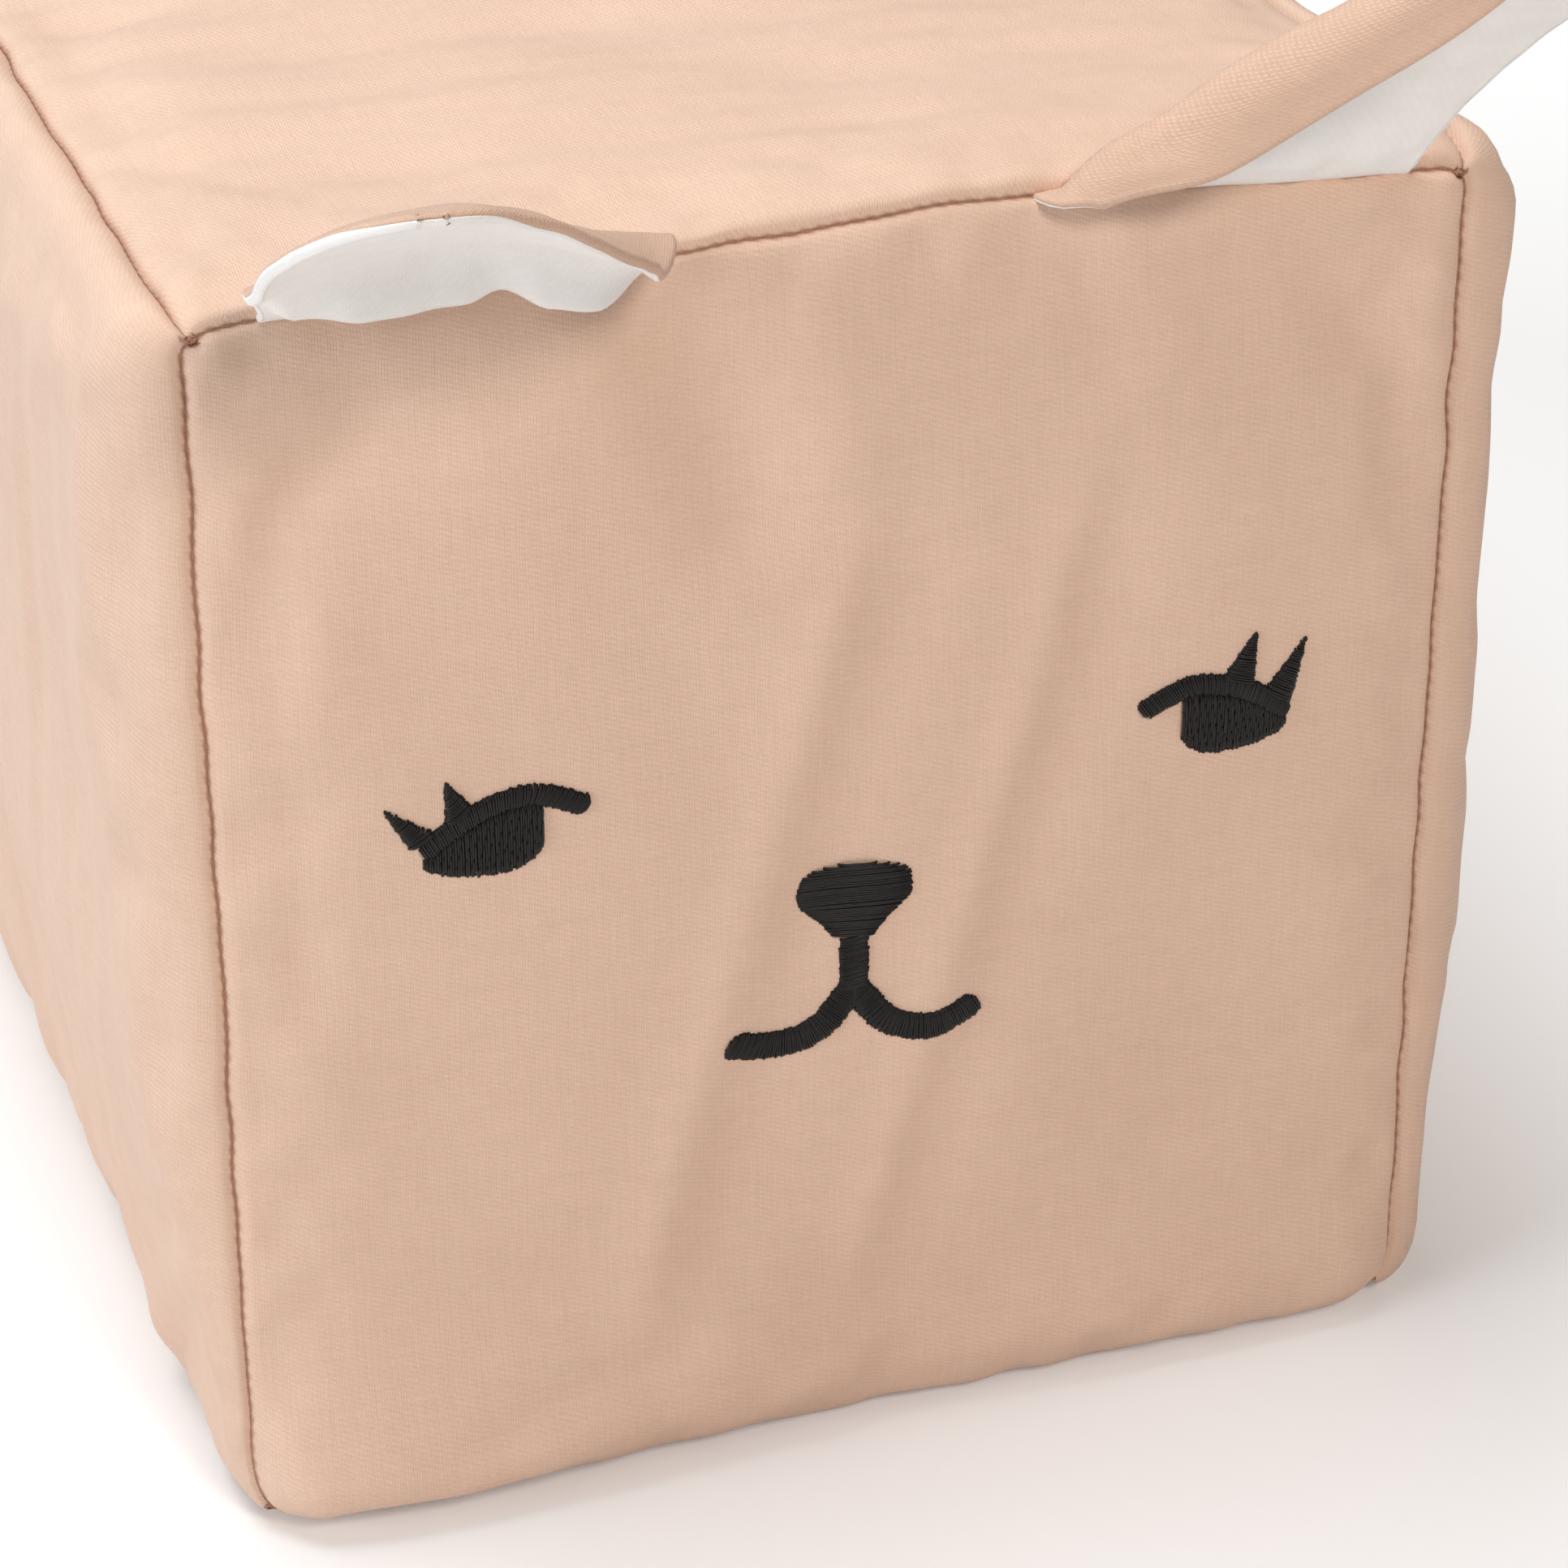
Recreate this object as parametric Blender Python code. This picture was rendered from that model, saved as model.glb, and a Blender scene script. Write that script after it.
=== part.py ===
"""A soft fabric block with an animal face: a foam core in a sewn cotton cover.

The cover has seven cloth panels, an embroidered face, two floppy ears sewn into the top
front seam, and a zip low on its back. All sizes are in metres. The block stands on z = 0
with its face towards -Y, and the origin is the middle of the face that it rests on.
"""

import math

import bmesh
import bpy
from mathutils import Vector

# The block, measured from seam to seam
SEAM_WIDTH = 0.180
SEAM_HEIGHT = 0.187
SEAM_DEPTH = 0.285
BASE_CORNER = 0.010
TOP_CORNER = 0.004

# Cloth, and the gap that touching pieces keep
CLOTH = 0.0010
GAP = 0.0003
SEAM_GAP = 0.0004

# How far each panel stands out from its seams
EDGE_RUN = 0.010
SIDE_RISE = 0.0100
SIDE_BASE_RISE = 0.0080
SIDE_CROWN = 0.0020
TOP_RISE = 0.0040
TOP_CROWN = 0.0035
TOP_SEAM_RISE = 0.0035
BASE_SEAM_RISE = 0.0020
BASE_LIFT = 0.0012
BASE_LIFT_FADE = 0.020
FRONT_RISE = 0.0020
FRONT_BASE_RISE = 0.0050
FRONT_BASE_FADE = 0.030
FRONT_CROWN = 0.0040
BACK_RISE = 0.0040
BACK_CROWN = 0.0030

# Rows of the panels' grids: shares of the edge run, then even steps between the runs
EDGE_SHARES = (0.0, 0.1, 0.4, 1.0)
WIDTH_STEPS = 6
HEIGHT_STEPS = 6
DEPTH_STEPS = 6

# Ears: the hinge lies just outside the top front seam
EAR_WIDTH = 0.056
EAR_FROM_SIDE = 0.0085
EAR_CLOTH = 0.0006
EAR_WADDING = 0.0008
EAR_LAYER_GAP = 0.0003
EAR_ROOT_RADIUS = 0.0013
EAR_RIM = 0.0007
EAR_RIM_MOST_SHARE = 0.5
EAR_BEAD_SIDES = 10
EAR_COLUMNS = 24
EAR_ROW_SHARES = (0.03, 0.07, 0.12, 0.18, 0.26, 0.36, 0.47, 0.58, 0.69, 0.79, 0.89, 0.975)
EAR_OUTLINE_SHARES = (2.0, 0.5)
EAR_SPLAY_SHARE = 0.5
EAR_CURL_SHARE = 0.3
EAR_FOLD_WIDTH = 0.010
EAR_STEPS = 48
# Each ear: its side and length, how steeply its root and its tip stand above level and the
# share of the length that the bend takes, how far its root and its tip splay to the side, and
# how far its inner and its outer half curl. The right ear's inner half is folded over along a
# line that starts at this share of the half width, ends at the next and turns by the power.
EARS = {
    "left": {
        "side": -1,
        "length": 0.070,
        "root": math.radians(70),
        "tip": math.radians(22),
        "bend_share": 0.38,
        "splays": (math.radians(12), math.radians(17)),
        "curls": (math.radians(42), math.radians(25)),
        "fold": 0.0,
        "fold_shares": (1.0, 1.0),
        "fold_power": 1.0,
    },
    "right": {
        "side": 1,
        "length": 0.075,
        "root": math.radians(78),
        "tip": math.radians(48),
        "bend_share": 0.5,
        "splays": (math.radians(20), math.radians(36)),
        "curls": (math.radians(10), math.radians(15)),
        "fold": math.radians(130),
        "fold_shares": (1.0, 0.1),
        "fold_power": 2.2,
    },
}

# Embroidery: how far the thread stands out, and the sizes of each stitched shape
THREAD = 0.0008
THREAD_SEAT = 0.0002
EYE_APART = 0.0553
EYE_OFF_CENTRE = 0.0009
EYE_HEIGHT = 0.1095
EYE_WIDTH = 0.0170
LID_WIDTH = 0.0029
NOSE_OFF_CENTRE = -0.0012
NOSE_HEIGHT = 0.0975
NOSE_WIDTH = 0.0167
NOSE_DROP = 0.0115
STEM_WIDTH = 0.0038
STEM_LENGTH = 0.0085
MOUTH_REACH = 0.0190
MOUTH_LINE = 0.0040
# Shares of the eye's width, towards the nose and up, from the outer corner's level
LID_SHARES = (
    (0.87, 0.23), (0.69, 0.31), (0.51, 0.38), (0.37, 0.40), (0.21, 0.38),
    (0.05, 0.34), (-0.11, 0.27), (-0.32, 0.14), (-0.50, 0.0),
)
EYE_LOW_SHARES = (
    (0.49, -0.05), (0.43, -0.14), (0.31, -0.22), (0.13, -0.26),
    (-0.12, -0.25), (-0.32, -0.21), (-0.45, -0.15), (-0.49, -0.11),
)
# The least height of the eye's fill
EYE_LEAST_SHARE = 0.04
# Each lash: where the two ends of its foot stand on the lid, then its tip
LASH_SHARES = {
    "left": {
        "inner": (-0.07, -0.29, (-0.29, 0.61)),
        "outer": (-0.37, -0.58, (-0.79, 0.44)),
    },
    "right": {
        "inner": (0.12, -0.16, (-0.17, 0.80)),
        "outer": (-0.27, -0.51, (-0.65, 0.67)),
    },
}
# Where a lash is given a section, from its foot to its blunt tip
LASH_STEP_SHARES = (0.0, 0.5, 0.96)
# Shares of the nose's drop, and of its width on each side
NOSE_SHARES = (
    (0.0, 0.32), (0.07, 0.42), (0.20, 0.48), (0.39, 0.50), (0.52, 0.476),
    (0.65, 0.386), (0.78, 0.29), (0.90, 0.228), (1.0, 0.18),
)
# Shares of the mouth's reach, to the side and up from the stem's end
MOUTH_SHARES = (
    (0.10, -0.12), (0.21, -0.27), (0.36, -0.37), (0.52, -0.41), (0.68, -0.41), (0.85, -0.36), (1.0, -0.30),
)

# Zip across the back: the window in the cloth, the tapes behind it and the teeth
ZIP_HEIGHT = 0.030
ZIP_FROM_SIDE = 0.013
TAPE_TUCK = 0.0030
TAPE_WIDTH = 0.0113
TAPE = 0.0006
TEETH_WIDTH = 0.0020
TEETH_RISE = 0.0014
TEETH_PART = 0.0007
STOP_LENGTH = 0.0030
STOP_MARGIN = 0.0017
STOP_OVER = 0.0005
STOP_PROUD = 0.0003

# Slider, its bridge and the pull that hangs on it
SLIDER_LENGTH = 0.0090
SLIDER_PLATE = 0.0011
SLIDER_FLANGE = 0.00115
SLIDER_PLAY = 0.00035
SLIDER_ROOM = 0.0018
SLIDER_FROM_END = 0.0015
BRIDGE_POST = 0.0008
BRIDGE_WIDTH = 0.0016
BRIDGE_PLAY = 0.00034
BRIDGE_SIDE_PLAY = 0.0006
PULL_LENGTH = 0.018
PULL_THICK = 0.0010
PULL_PLAY = 0.0004
PULL_SIDE = 0.0013
FOAM_GROOVE_PLAY = 0.0005

# Sizes that follow from these
HALF_WIDTH = SEAM_WIDTH / 2
HALF_DEPTH = SEAM_DEPTH / 2
BACK_FACE = HALF_DEPTH + BACK_RISE
EAR_CENTRE = HALF_WIDTH - EAR_FROM_SIDE - EAR_WIDTH / 2
WINDOW_WIDTH = SEAM_WIDTH - 2 * ZIP_FROM_SIDE
TAPE_LENGTH = WINDOW_WIDTH + 2 * TAPE_TUCK
TEETH_LENGTH = WINDOW_WIDTH - 2 * (STOP_LENGTH + GAP + STOP_MARGIN)
TEETH_SPAN = 2 * (TEETH_PART + TEETH_WIDTH)
STOP_WIDTH = TEETH_SPAN + 2 * STOP_OVER
STOP_RISE = TEETH_RISE + STOP_PROUD
SLIDER_NECK = 2 * (TEETH_PART - GAP)
SLIDER_WIDTH = TEETH_SPAN + 2 * (SLIDER_PLAY + SLIDER_FLANGE)
SLIDER_PLACE = TEETH_LENGTH / 2 - SLIDER_FROM_END - SLIDER_LENGTH / 2
WINDOW_HEIGHT = SLIDER_WIDTH + 2 * SLIDER_ROOM
PULL_SWEEP = math.hypot(PULL_THICK, PULL_THICK)
BRIDGE_CLEAR = PULL_SWEEP + 2 * BRIDGE_SIDE_PLAY
BRIDGE_HEIGHT = PULL_SWEEP + 2 * BRIDGE_PLAY
BRIDGE_SWEEP = math.hypot(BRIDGE_CLEAR / 2 + BRIDGE_POST, BRIDGE_HEIGHT / 2 + BRIDGE_POST)
PULL_EYE_WIDTH = BRIDGE_WIDTH + 2 * PULL_PLAY
PULL_EYE_LENGTH = BRIDGE_SWEEP + PULL_PLAY - PULL_THICK / 2
PULL_WIDTH = PULL_EYE_WIDTH + 2 * PULL_SIDE

SHARP_ANGLE = math.radians(50)

# Finishes: name, colour, roughness and metallic value
PEACH_COTTON = ("Peach cotton", (0.64, 0.40, 0.27, 1.0), 0.9, 0.0)
EAR_COTTON = ("Ear cotton", (0.60, 0.37, 0.25, 1.0), 0.9, 0.0)
WHITE_COTTON = ("White cotton", (0.80, 0.77, 0.73, 1.0), 0.85, 0.0)
BLACK_THREAD = ("Black thread", (0.012, 0.011, 0.010, 1.0), 0.55, 0.0)
FOAM = ("Foam", (0.80, 0.74, 0.55, 1.0), 0.95, 0.0)
WADDING = ("Wadding", (0.80, 0.77, 0.73, 1.0), 1.0, 0.0)
ZIP_TAPE = ("Zip tape", (0.55, 0.36, 0.25, 1.0), 0.85, 0.0)
ZIP_TEETH = ("Zip teeth", (0.55, 0.36, 0.25, 1.0), 0.5, 0.0)
ZIP_METAL = ("Zip metal", (0.62, 0.60, 0.57, 1.0), 0.35, 1.0)


def clear_scene():
    for obj in list(bpy.data.objects):
        bpy.data.objects.remove(obj)


def material(finish):
    name, colour, roughness, metallic = finish
    found = bpy.data.materials.get(name)
    if found:
        return found
    made = bpy.data.materials.new(name)
    made.use_nodes = True
    shader = made.node_tree.nodes["Principled BSDF"]
    shader.inputs["Base Color"].default_value = colour
    shader.inputs["Roughness"].default_value = roughness
    shader.inputs["Metallic"].default_value = metallic
    return made


def add_object(name, points, faces, finish, smooth=True):
    mesh = bpy.data.meshes.new(name)
    mesh.from_pydata([tuple(point) for point in points], [], faces)
    mesh.validate()
    shell = bmesh.new()
    shell.from_mesh(mesh)
    bmesh.ops.recalc_face_normals(shell, faces=shell.faces)
    shell.to_mesh(mesh)
    shell.free()
    if smooth:
        mesh.shade_smooth()
        mesh.set_sharp_from_angle(angle=SHARP_ANGLE)
    obj = bpy.data.objects.new(name, mesh)
    bpy.context.scene.collection.objects.link(obj)
    obj.data.materials.append(material(finish))
    return obj


def box(name, low, high, finish):
    points = [(x, y, z) for x in (low[0], high[0]) for y in (low[1], high[1]) for z in (low[2], high[2])]
    faces = [(0, 1, 3, 2), (4, 6, 7, 5), (0, 4, 5, 1), (2, 3, 7, 6), (0, 2, 6, 4), (1, 5, 7, 3)]
    return add_object(name, points, faces, finish, smooth=False)


def tube_faces(count):
    """The faces of a closed tube between two rings of points."""
    faces = [tuple(range(count)), tuple(reversed(range(count, 2 * count)))]
    for step in range(count):
        after = (step + 1) % count
        faces.append((step, after, after + count, step + count))
    return faces


def hide(obj):
    obj.hide_render = True
    obj.display_type = "WIRE"
    return obj


def boolean(obj, other, operation):
    change = obj.modifiers.new(operation.title(), "BOOLEAN")
    change.operation = operation
    change.solver = "EXACT"
    change.object = hide(other)


# Shape of the sewn block

def arc(run):
    """Rises from 0 to 1 as a quarter circle while run goes from 0 to 1."""
    rest = 1 - min(max(run, 0.0), 1.0)
    return math.sqrt(max(0.0, 1 - rest * rest))


def smooth(run):
    run = min(max(run, 0.0), 1.0)
    return run * run * (3 - 2 * run)


def rounded(x, z):
    """A place on the flat end rectangle, moved so that the rectangle's corners are round."""
    radius = BASE_CORNER if z < SEAM_HEIGHT / 2 else TOP_CORNER
    centre_x = HALF_WIDTH - radius
    centre_z = radius if z < SEAM_HEIGHT / 2 else SEAM_HEIGHT - radius
    over_x = max(abs(x) - centre_x, 0.0)
    over_z = max(centre_z - z, 0.0) if z < SEAM_HEIGHT / 2 else max(z - centre_z, 0.0)
    inside = min(HALF_WIDTH - abs(x), z, SEAM_HEIGHT - z)
    up = -1.0 if z < SEAM_HEIGHT / 2 else 1.0
    side = math.copysign(1.0, x)
    if not (over_x and over_z):
        nearer_side = HALF_WIDTH - abs(x) <= min(z, SEAM_HEIGHT - z)
        return x, z, inside, (side, 0.0) if nearer_side else (0.0, up)
    long_side = math.hypot(over_x, over_z)
    squeeze = max(over_x, over_z) / long_side
    normal = (side * over_x / long_side, up * over_z / long_side)
    place_x = side * (centre_x + over_x * squeeze)
    place_z = centre_z + up * over_z * squeeze
    return place_x, place_z, inside, normal


def base_lift(from_end, z):
    """The end seams of the base are drawn up a little from the ground."""
    return BASE_LIFT * (1 - arc(from_end / EDGE_RUN)) * max(0.0, 1 - z / BASE_LIFT_FADE)


def crown(x, z):
    across = x / HALF_WIDTH
    up = 2 * z / SEAM_HEIGHT - 1
    return (1 - across * across) * (1 - up * up)


def front_point(x, z):
    place_x, place_z, inside, _ = rounded(x, z)
    low = smooth(1 - z / FRONT_BASE_FADE)
    rise = FRONT_RISE + (FRONT_BASE_RISE - FRONT_RISE) * low
    out = rise * arc(inside / EDGE_RUN) + FRONT_CROWN * crown(x, z)
    return Vector((place_x, -HALF_DEPTH - out, place_z + base_lift(0.0, z)))


def back_point(x, z):
    place_x, place_z, inside, _ = rounded(x, z)
    flat_top = ZIP_HEIGHT + TAPE_WIDTH + EDGE_RUN
    upper = max(0.0, (z - flat_top) / (SEAM_HEIGHT - flat_top))
    swell = math.sin(math.pi * upper) ** 2 * (1 - (x / HALF_WIDTH) ** 2)
    out = BACK_RISE * arc(inside / EDGE_RUN) + BACK_CROWN * swell
    return Vector((place_x, HALF_DEPTH + out, place_z + base_lift(0.0, z)))


def around_point(x, y, z):
    """A place on the long panels: the two sides, the top and the base."""
    place_x, place_z, _, normal = rounded(x, z)
    from_end = HALF_DEPTH - abs(y)
    on_side = abs(x) >= HALF_WIDTH and 0.0 <= z <= SEAM_HEIGHT
    along = 1 - (y / HALF_DEPTH) ** 2
    seam_rise = TOP_SEAM_RISE if z > SEAM_HEIGHT / 2 else BASE_SEAM_RISE
    if on_side and 0.0 < z < SEAM_HEIGHT:
        run = arc(min(z, SEAM_HEIGHT - z) / EDGE_RUN)
        up = 2 * z / SEAM_HEIGHT - 1
        panel_rise = SIDE_BASE_RISE + (SIDE_RISE - SIDE_BASE_RISE) * z / SEAM_HEIGHT
        swell = SIDE_CROWN * (1 - up * up)
    else:
        run = arc((HALF_WIDTH - abs(x)) / EDGE_RUN)
        across = x / HALF_WIDTH
        top = z > SEAM_HEIGHT / 2
        panel_rise = TOP_RISE if top else 0.0
        swell = TOP_CROWN * (1 - across * across) if top else 0.0
    rise = seam_rise + (panel_rise - seam_rise) * run
    out = rise * arc(from_end / EDGE_RUN) + swell * along
    place = Vector((place_x + normal[0] * out, y, place_z + normal[1] * out + base_lift(from_end, z)))
    place.z = max(place.z, 0.0)
    return place


def rows(low, high, steps):
    """Places along one edge of the block, close together near both of its ends."""
    near = [low + EDGE_RUN * share for share in EDGE_SHARES]
    far = [high - EDGE_RUN * share for share in reversed(EDGE_SHARES)]
    length = high - low - 2 * EDGE_RUN
    middle = [low + EDGE_RUN + length * step / steps for step in range(1, steps)]
    return near + middle + far


def block_grids():
    """The block's skin as grids of places, one for each panel of the cover."""
    xs = rows(-HALF_WIDTH, HALF_WIDTH, WIDTH_STEPS)
    ys = rows(-HALF_DEPTH, HALF_DEPTH, DEPTH_STEPS)
    zs = rows(0.0, SEAM_HEIGHT, HEIGHT_STEPS)
    split = min(range(len(zs)), key=lambda row: abs(zs[row] - ZIP_HEIGHT))
    zs[split] = ZIP_HEIGHT
    return {
        "front_panel": [[front_point(x, z) for x in xs] for z in zs],
        "back_upper_panel": [[back_point(x, z) for x in reversed(xs)] for z in zs[split:]],
        "back_lower_panel": [[back_point(x, z) for x in reversed(xs)] for z in zs[: split + 1]],
        "left_side_panel": [[around_point(-HALF_WIDTH, y, z) for y in reversed(ys)] for z in zs],
        "right_side_panel": [[around_point(HALF_WIDTH, y, z) for y in ys] for z in zs],
        "top_panel": [[around_point(x, y, SEAM_HEIGHT) for x in xs] for y in ys],
        "base_panel": [[around_point(x, y, 0.0) for x in reversed(xs)] for y in ys],
    }


def key(place):
    return tuple(round(value, 6) for value in place)


def quads(grid):
    for row in range(len(grid) - 1):
        for column in range(len(grid[0]) - 1):
            yield (row, column), (row, column + 1), (row + 1, column + 1), (row + 1, column)


def skin_normals(grids):
    """The outward normal at every place of the skin, shared by the panels that meet there."""
    sums = {}
    for grid in grids.values():
        for corners in quads(grid):
            places = [grid[row][column] for row, column in corners]
            normal = (places[2] - places[0]).cross(places[3] - places[1]).normalized()
            for place in places:
                sums[key(place)] = sums.get(key(place), Vector()) + normal
    return {place: total.normalized() for place, total in sums.items()}


def panel(name, grid, normals, finish):
    """One cloth panel: the grid and its inner face, drawn back a little from its seams."""
    last_row = len(grid) - 1
    last_column = len(grid[0]) - 1
    outer = []
    inner = []
    for row, line in enumerate(grid):
        for column, place in enumerate(line):
            near = grid[min(max(row, 1), last_row - 1)][min(max(column, 1), last_column - 1)]
            back = (near - place).normalized() * (SEAM_GAP / 2) if near is not place else Vector()
            outer.append(place + back)
            inner.append(place + back - normals[key(place)] * CLOTH)
    return add_object(name, outer + inner, sheet_faces(len(grid), len(grid[0])), finish)


def halves(quad):
    """The two triangles of a quad, split the same way everywhere, so that neighbours nest."""
    return (quad[0], quad[1], quad[2]), (quad[0], quad[2], quad[3])


def sheet_faces(row_count, column_count):
    """The faces of a sheet with a wall all round it; the inner face's points follow the outer ones."""
    total = row_count * column_count
    faces = []
    for row in range(row_count - 1):
        for column in range(column_count - 1):
            first = row * column_count + column
            quad = (first, first + 1, first + column_count + 1, first + column_count)
            for corners in halves(quad):
                faces.append(corners)
                faces.append(tuple(total + corner for corner in reversed(corners)))
    rim = [column for column in range(column_count)]
    rim += [row * column_count + column_count - 1 for row in range(1, row_count)]
    rim += [(row_count - 1) * column_count + column for column in range(column_count - 2, -1, -1)]
    rim += [row * column_count for row in range(row_count - 2, 0, -1)]
    for this, after in zip(rim, rim[1:] + rim[:1]):
        faces.append((after, this, total + this, total + after))
    return faces


def foam_core(grids, normals):
    """The foam fills the cover, and has a shallow groove behind the zip."""
    index = {}
    points = []
    faces = []
    for grid in grids.values():
        for corners in quads(grid):
            face = []
            for row, column in corners:
                place = grid[row][column]
                if key(place) not in index:
                    index[key(place)] = len(points)
                    points.append(place - normals[key(place)] * (CLOTH + GAP))
                face.append(index[key(place)])
            faces += halves(face)
    core = add_object("foam_core", points, faces, FOAM)
    deep = TAPE + SLIDER_PLAY + SLIDER_PLATE + GAP
    floor = BACK_FACE - CLOTH - GAP - deep
    half_height = TEETH_PART + TAPE_WIDTH + FOAM_GROOVE_PLAY
    half_length = TAPE_LENGTH / 2 + FOAM_GROOVE_PLAY
    groove = box(
        "foam_groove_cutter",
        (-half_length, floor, ZIP_HEIGHT - half_height),
        (half_length, BACK_FACE + BACK_CROWN, ZIP_HEIGHT + half_height),
        FOAM,
    )
    boolean(core, groove, "DIFFERENCE")


def cover():
    grids = block_grids()
    normals = skin_normals(grids)
    foam_core(grids, normals)
    for name, grid in grids.items():
        made = panel(name, grid, normals, PEACH_COTTON)
        if not name.startswith("back"):
            continue
        half = (WINDOW_WIDTH / 2, WINDOW_HEIGHT / 2)
        window = box(
            name + "_window_cutter",
            (-half[0], HALF_DEPTH - CLOTH, ZIP_HEIGHT - half[1]),
            (half[0], BACK_FACE + BACK_CROWN, ZIP_HEIGHT + half[1]),
            PEACH_COTTON,
        )
        boolean(made, window, "DIFFERENCE")


# Embroidered face

def stitched(name, pairs):
    """A stitched shape between pairs of edge places, given as x and height on the face."""
    points = []
    for pair in pairs:
        places = [front_point(x, z) for x, z in pair]
        middle = (places[0] + places[1]) / 2
        out = Vector((0.0, -1.0, 0.0))
        low = out * THREAD_SEAT
        edge = out * (THREAD_SEAT + THREAD / 2)
        high = out * (THREAD_SEAT + THREAD)
        section = [places[0] + low, places[1] + low, places[1] + edge, middle + high, places[0] + edge]
        points += section
    ring = len(section)
    faces = [tuple(range(ring)), tuple(reversed(range(len(points) - ring, len(points))))]
    for step in range(len(pairs) - 1):
        for side in range(ring):
            this = step * ring + side
            after = step * ring + (side + 1) % ring
            faces.append((this, this + ring, after + ring, after))
    return add_object(name, points, faces, BLACK_THREAD)


def line_pairs(middles, widths):
    """Edge places on both sides of a line of middles."""
    pairs = []
    for step, (x, z) in enumerate(middles):
        before = middles[max(step - 1, 0)]
        after = middles[min(step + 1, len(middles) - 1)]
        run = Vector((after[0] - before[0], after[1] - before[1])).normalized()
        half = widths[step] / 2
        pairs.append(((x - run.y * half, z + run.x * half), (x + run.y * half, z - run.x * half)))
    return pairs


def lid_height(x_share):
    """The lid line's height over one place of the eye, and its slope there."""
    for (x_in, z_in), (x_out, z_out) in zip(LID_SHARES, LID_SHARES[1:]):
        if x_out <= x_share <= x_in:
            slope = (z_in - z_out) / (x_in - x_out)
            return z_out + slope * (x_share - x_out), slope
    return LID_SHARES[-1][1], 0.0


def eye(side):
    """One eye: a filled half disc, a lid line with a tail towards the nose, and two lashes."""
    name = "left" if side < 0 else "right"
    centre = side * EYE_APART + EYE_OFF_CENTRE

    def on_face(share):
        return centre - side * EYE_WIDTH * share[0], EYE_HEIGHT + EYE_WIDTH * share[1]

    def beside_lid(x_share):
        """The heights just under and just over the lid line."""
        height, slope = lid_height(x_share)
        clear = (LID_WIDTH / 2 * math.sqrt(1 + slope * slope) + 2 * GAP) / EYE_WIDTH
        return height - clear, height + clear

    fill = []
    for x_share, low_share in EYE_LOW_SHARES:
        under = beside_lid(x_share)[0]
        low = min(low_share, under - EYE_LEAST_SHARE)
        fill.append((on_face((x_share, low)), on_face((x_share, under))))
    stitched(name + "_eye", fill)
    middles = [on_face(share) for share in LID_SHARES]
    stitched(name + "_eyelid", line_pairs(middles, [LID_WIDTH] * len(middles)))
    for place, (foot_in, foot_out, tip) in LASH_SHARES[name].items():
        feet = [(x_share, beside_lid(x_share)[1]) for x_share in (foot_in, foot_out)]
        pairs = []
        for run in LASH_STEP_SHARES:
            pairs.append([on_face([a + (b - a) * run for a, b in zip(foot, tip)]) for foot in feet])
        stitched(name + "_" + place + "_lash", pairs)


def nose():
    """A rounded triangle, wide above and narrow where the mouth's stem meets it."""
    pairs = []
    for drop_share, half_share in NOSE_SHARES:
        z = NOSE_HEIGHT - NOSE_DROP * drop_share
        half = NOSE_WIDTH * half_share
        pairs.append(((NOSE_OFF_CENTRE - half, z), (NOSE_OFF_CENTRE + half, z)))
    stitched("nose", pairs)


def mouth():
    top = NOSE_HEIGHT - NOSE_DROP - GAP
    fork = top - STEM_LENGTH
    left = NOSE_OFF_CENTRE - STEM_WIDTH / 2
    right = NOSE_OFF_CENTRE + STEM_WIDTH / 2
    stitched("mouth_stem", [((left, z), (right, z)) for z in (top, (top + fork) / 2, fork)])
    for side, name in ((-1, "mouth_left"), (1, "mouth_right")):
        middles = []
        for x_share, z_share in MOUTH_SHARES:
            middles.append((side * MOUTH_REACH * x_share, fork + MOUTH_REACH * z_share))
        pairs = []
        for pair in line_pairs(middles, [MOUTH_LINE] * len(middles)):
            places = [(side * max(side * x, GAP / 2), min(z, fork - GAP)) for x, z in pair]
            pairs.append([(NOSE_OFF_CENTRE + x, z) for x, z in places])
        stitched(name, pairs)


# Ears

def ear_frame(lean):
    forward = Vector((0.0, -math.cos(lean), math.sin(lean)))
    lining = Vector((0.0, -math.sin(lean), -math.cos(lean)))
    return forward, lining


def ear_hinge(side):
    """The middle of an ear's root, on the line that the ear turns about."""
    off = EAR_ROOT_RADIUS + GAP
    return Vector((side * EAR_CENTRE, -HALF_DEPTH - off / math.sqrt(2), SEAM_HEIGHT + off / math.sqrt(2)))


def ear_lean(ear, along):
    return ear["tip"] + (ear["root"] - ear["tip"]) * (1 - smooth(along / ear["bend_share"]))


def ear_splay(ear, along):
    first, last = ear["splays"]
    return first + (last - first) * smooth(along / EAR_SPLAY_SHARE)


def ear_spine(ear, along):
    """A place on the line up the middle of an ear, found in small steps from its root."""
    place = ear_hinge(ear["side"])
    step = ear["length"] * along / EAR_STEPS
    for number in range(EAR_STEPS):
        share = along * (number + 0.5) / EAR_STEPS
        splay = ear_splay(ear, share)
        forward = ear_frame(ear_lean(ear, share))[0]
        place += forward * (step * math.cos(splay)) + Vector((ear["side"] * step * math.sin(splay), 0.0, 0.0))
    return place


def ear_turn(ear, along, from_middle):
    """How far an ear's cloth has turned towards its lining, at a distance from its middle line."""
    full = EAR_WIDTH / 2
    inner, outer = ear["curls"]
    curl = (inner if from_middle < 0 else outer) * abs(from_middle) / full * smooth(along / EAR_CURL_SHARE)
    first, last = ear["fold_shares"]
    fold_at = -full * (first + (last - first) * (1 - (1 - along) ** ear["fold_power"]))
    return curl + ear["fold"] * smooth((fold_at - from_middle) / EAR_FOLD_WIDTH)


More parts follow.
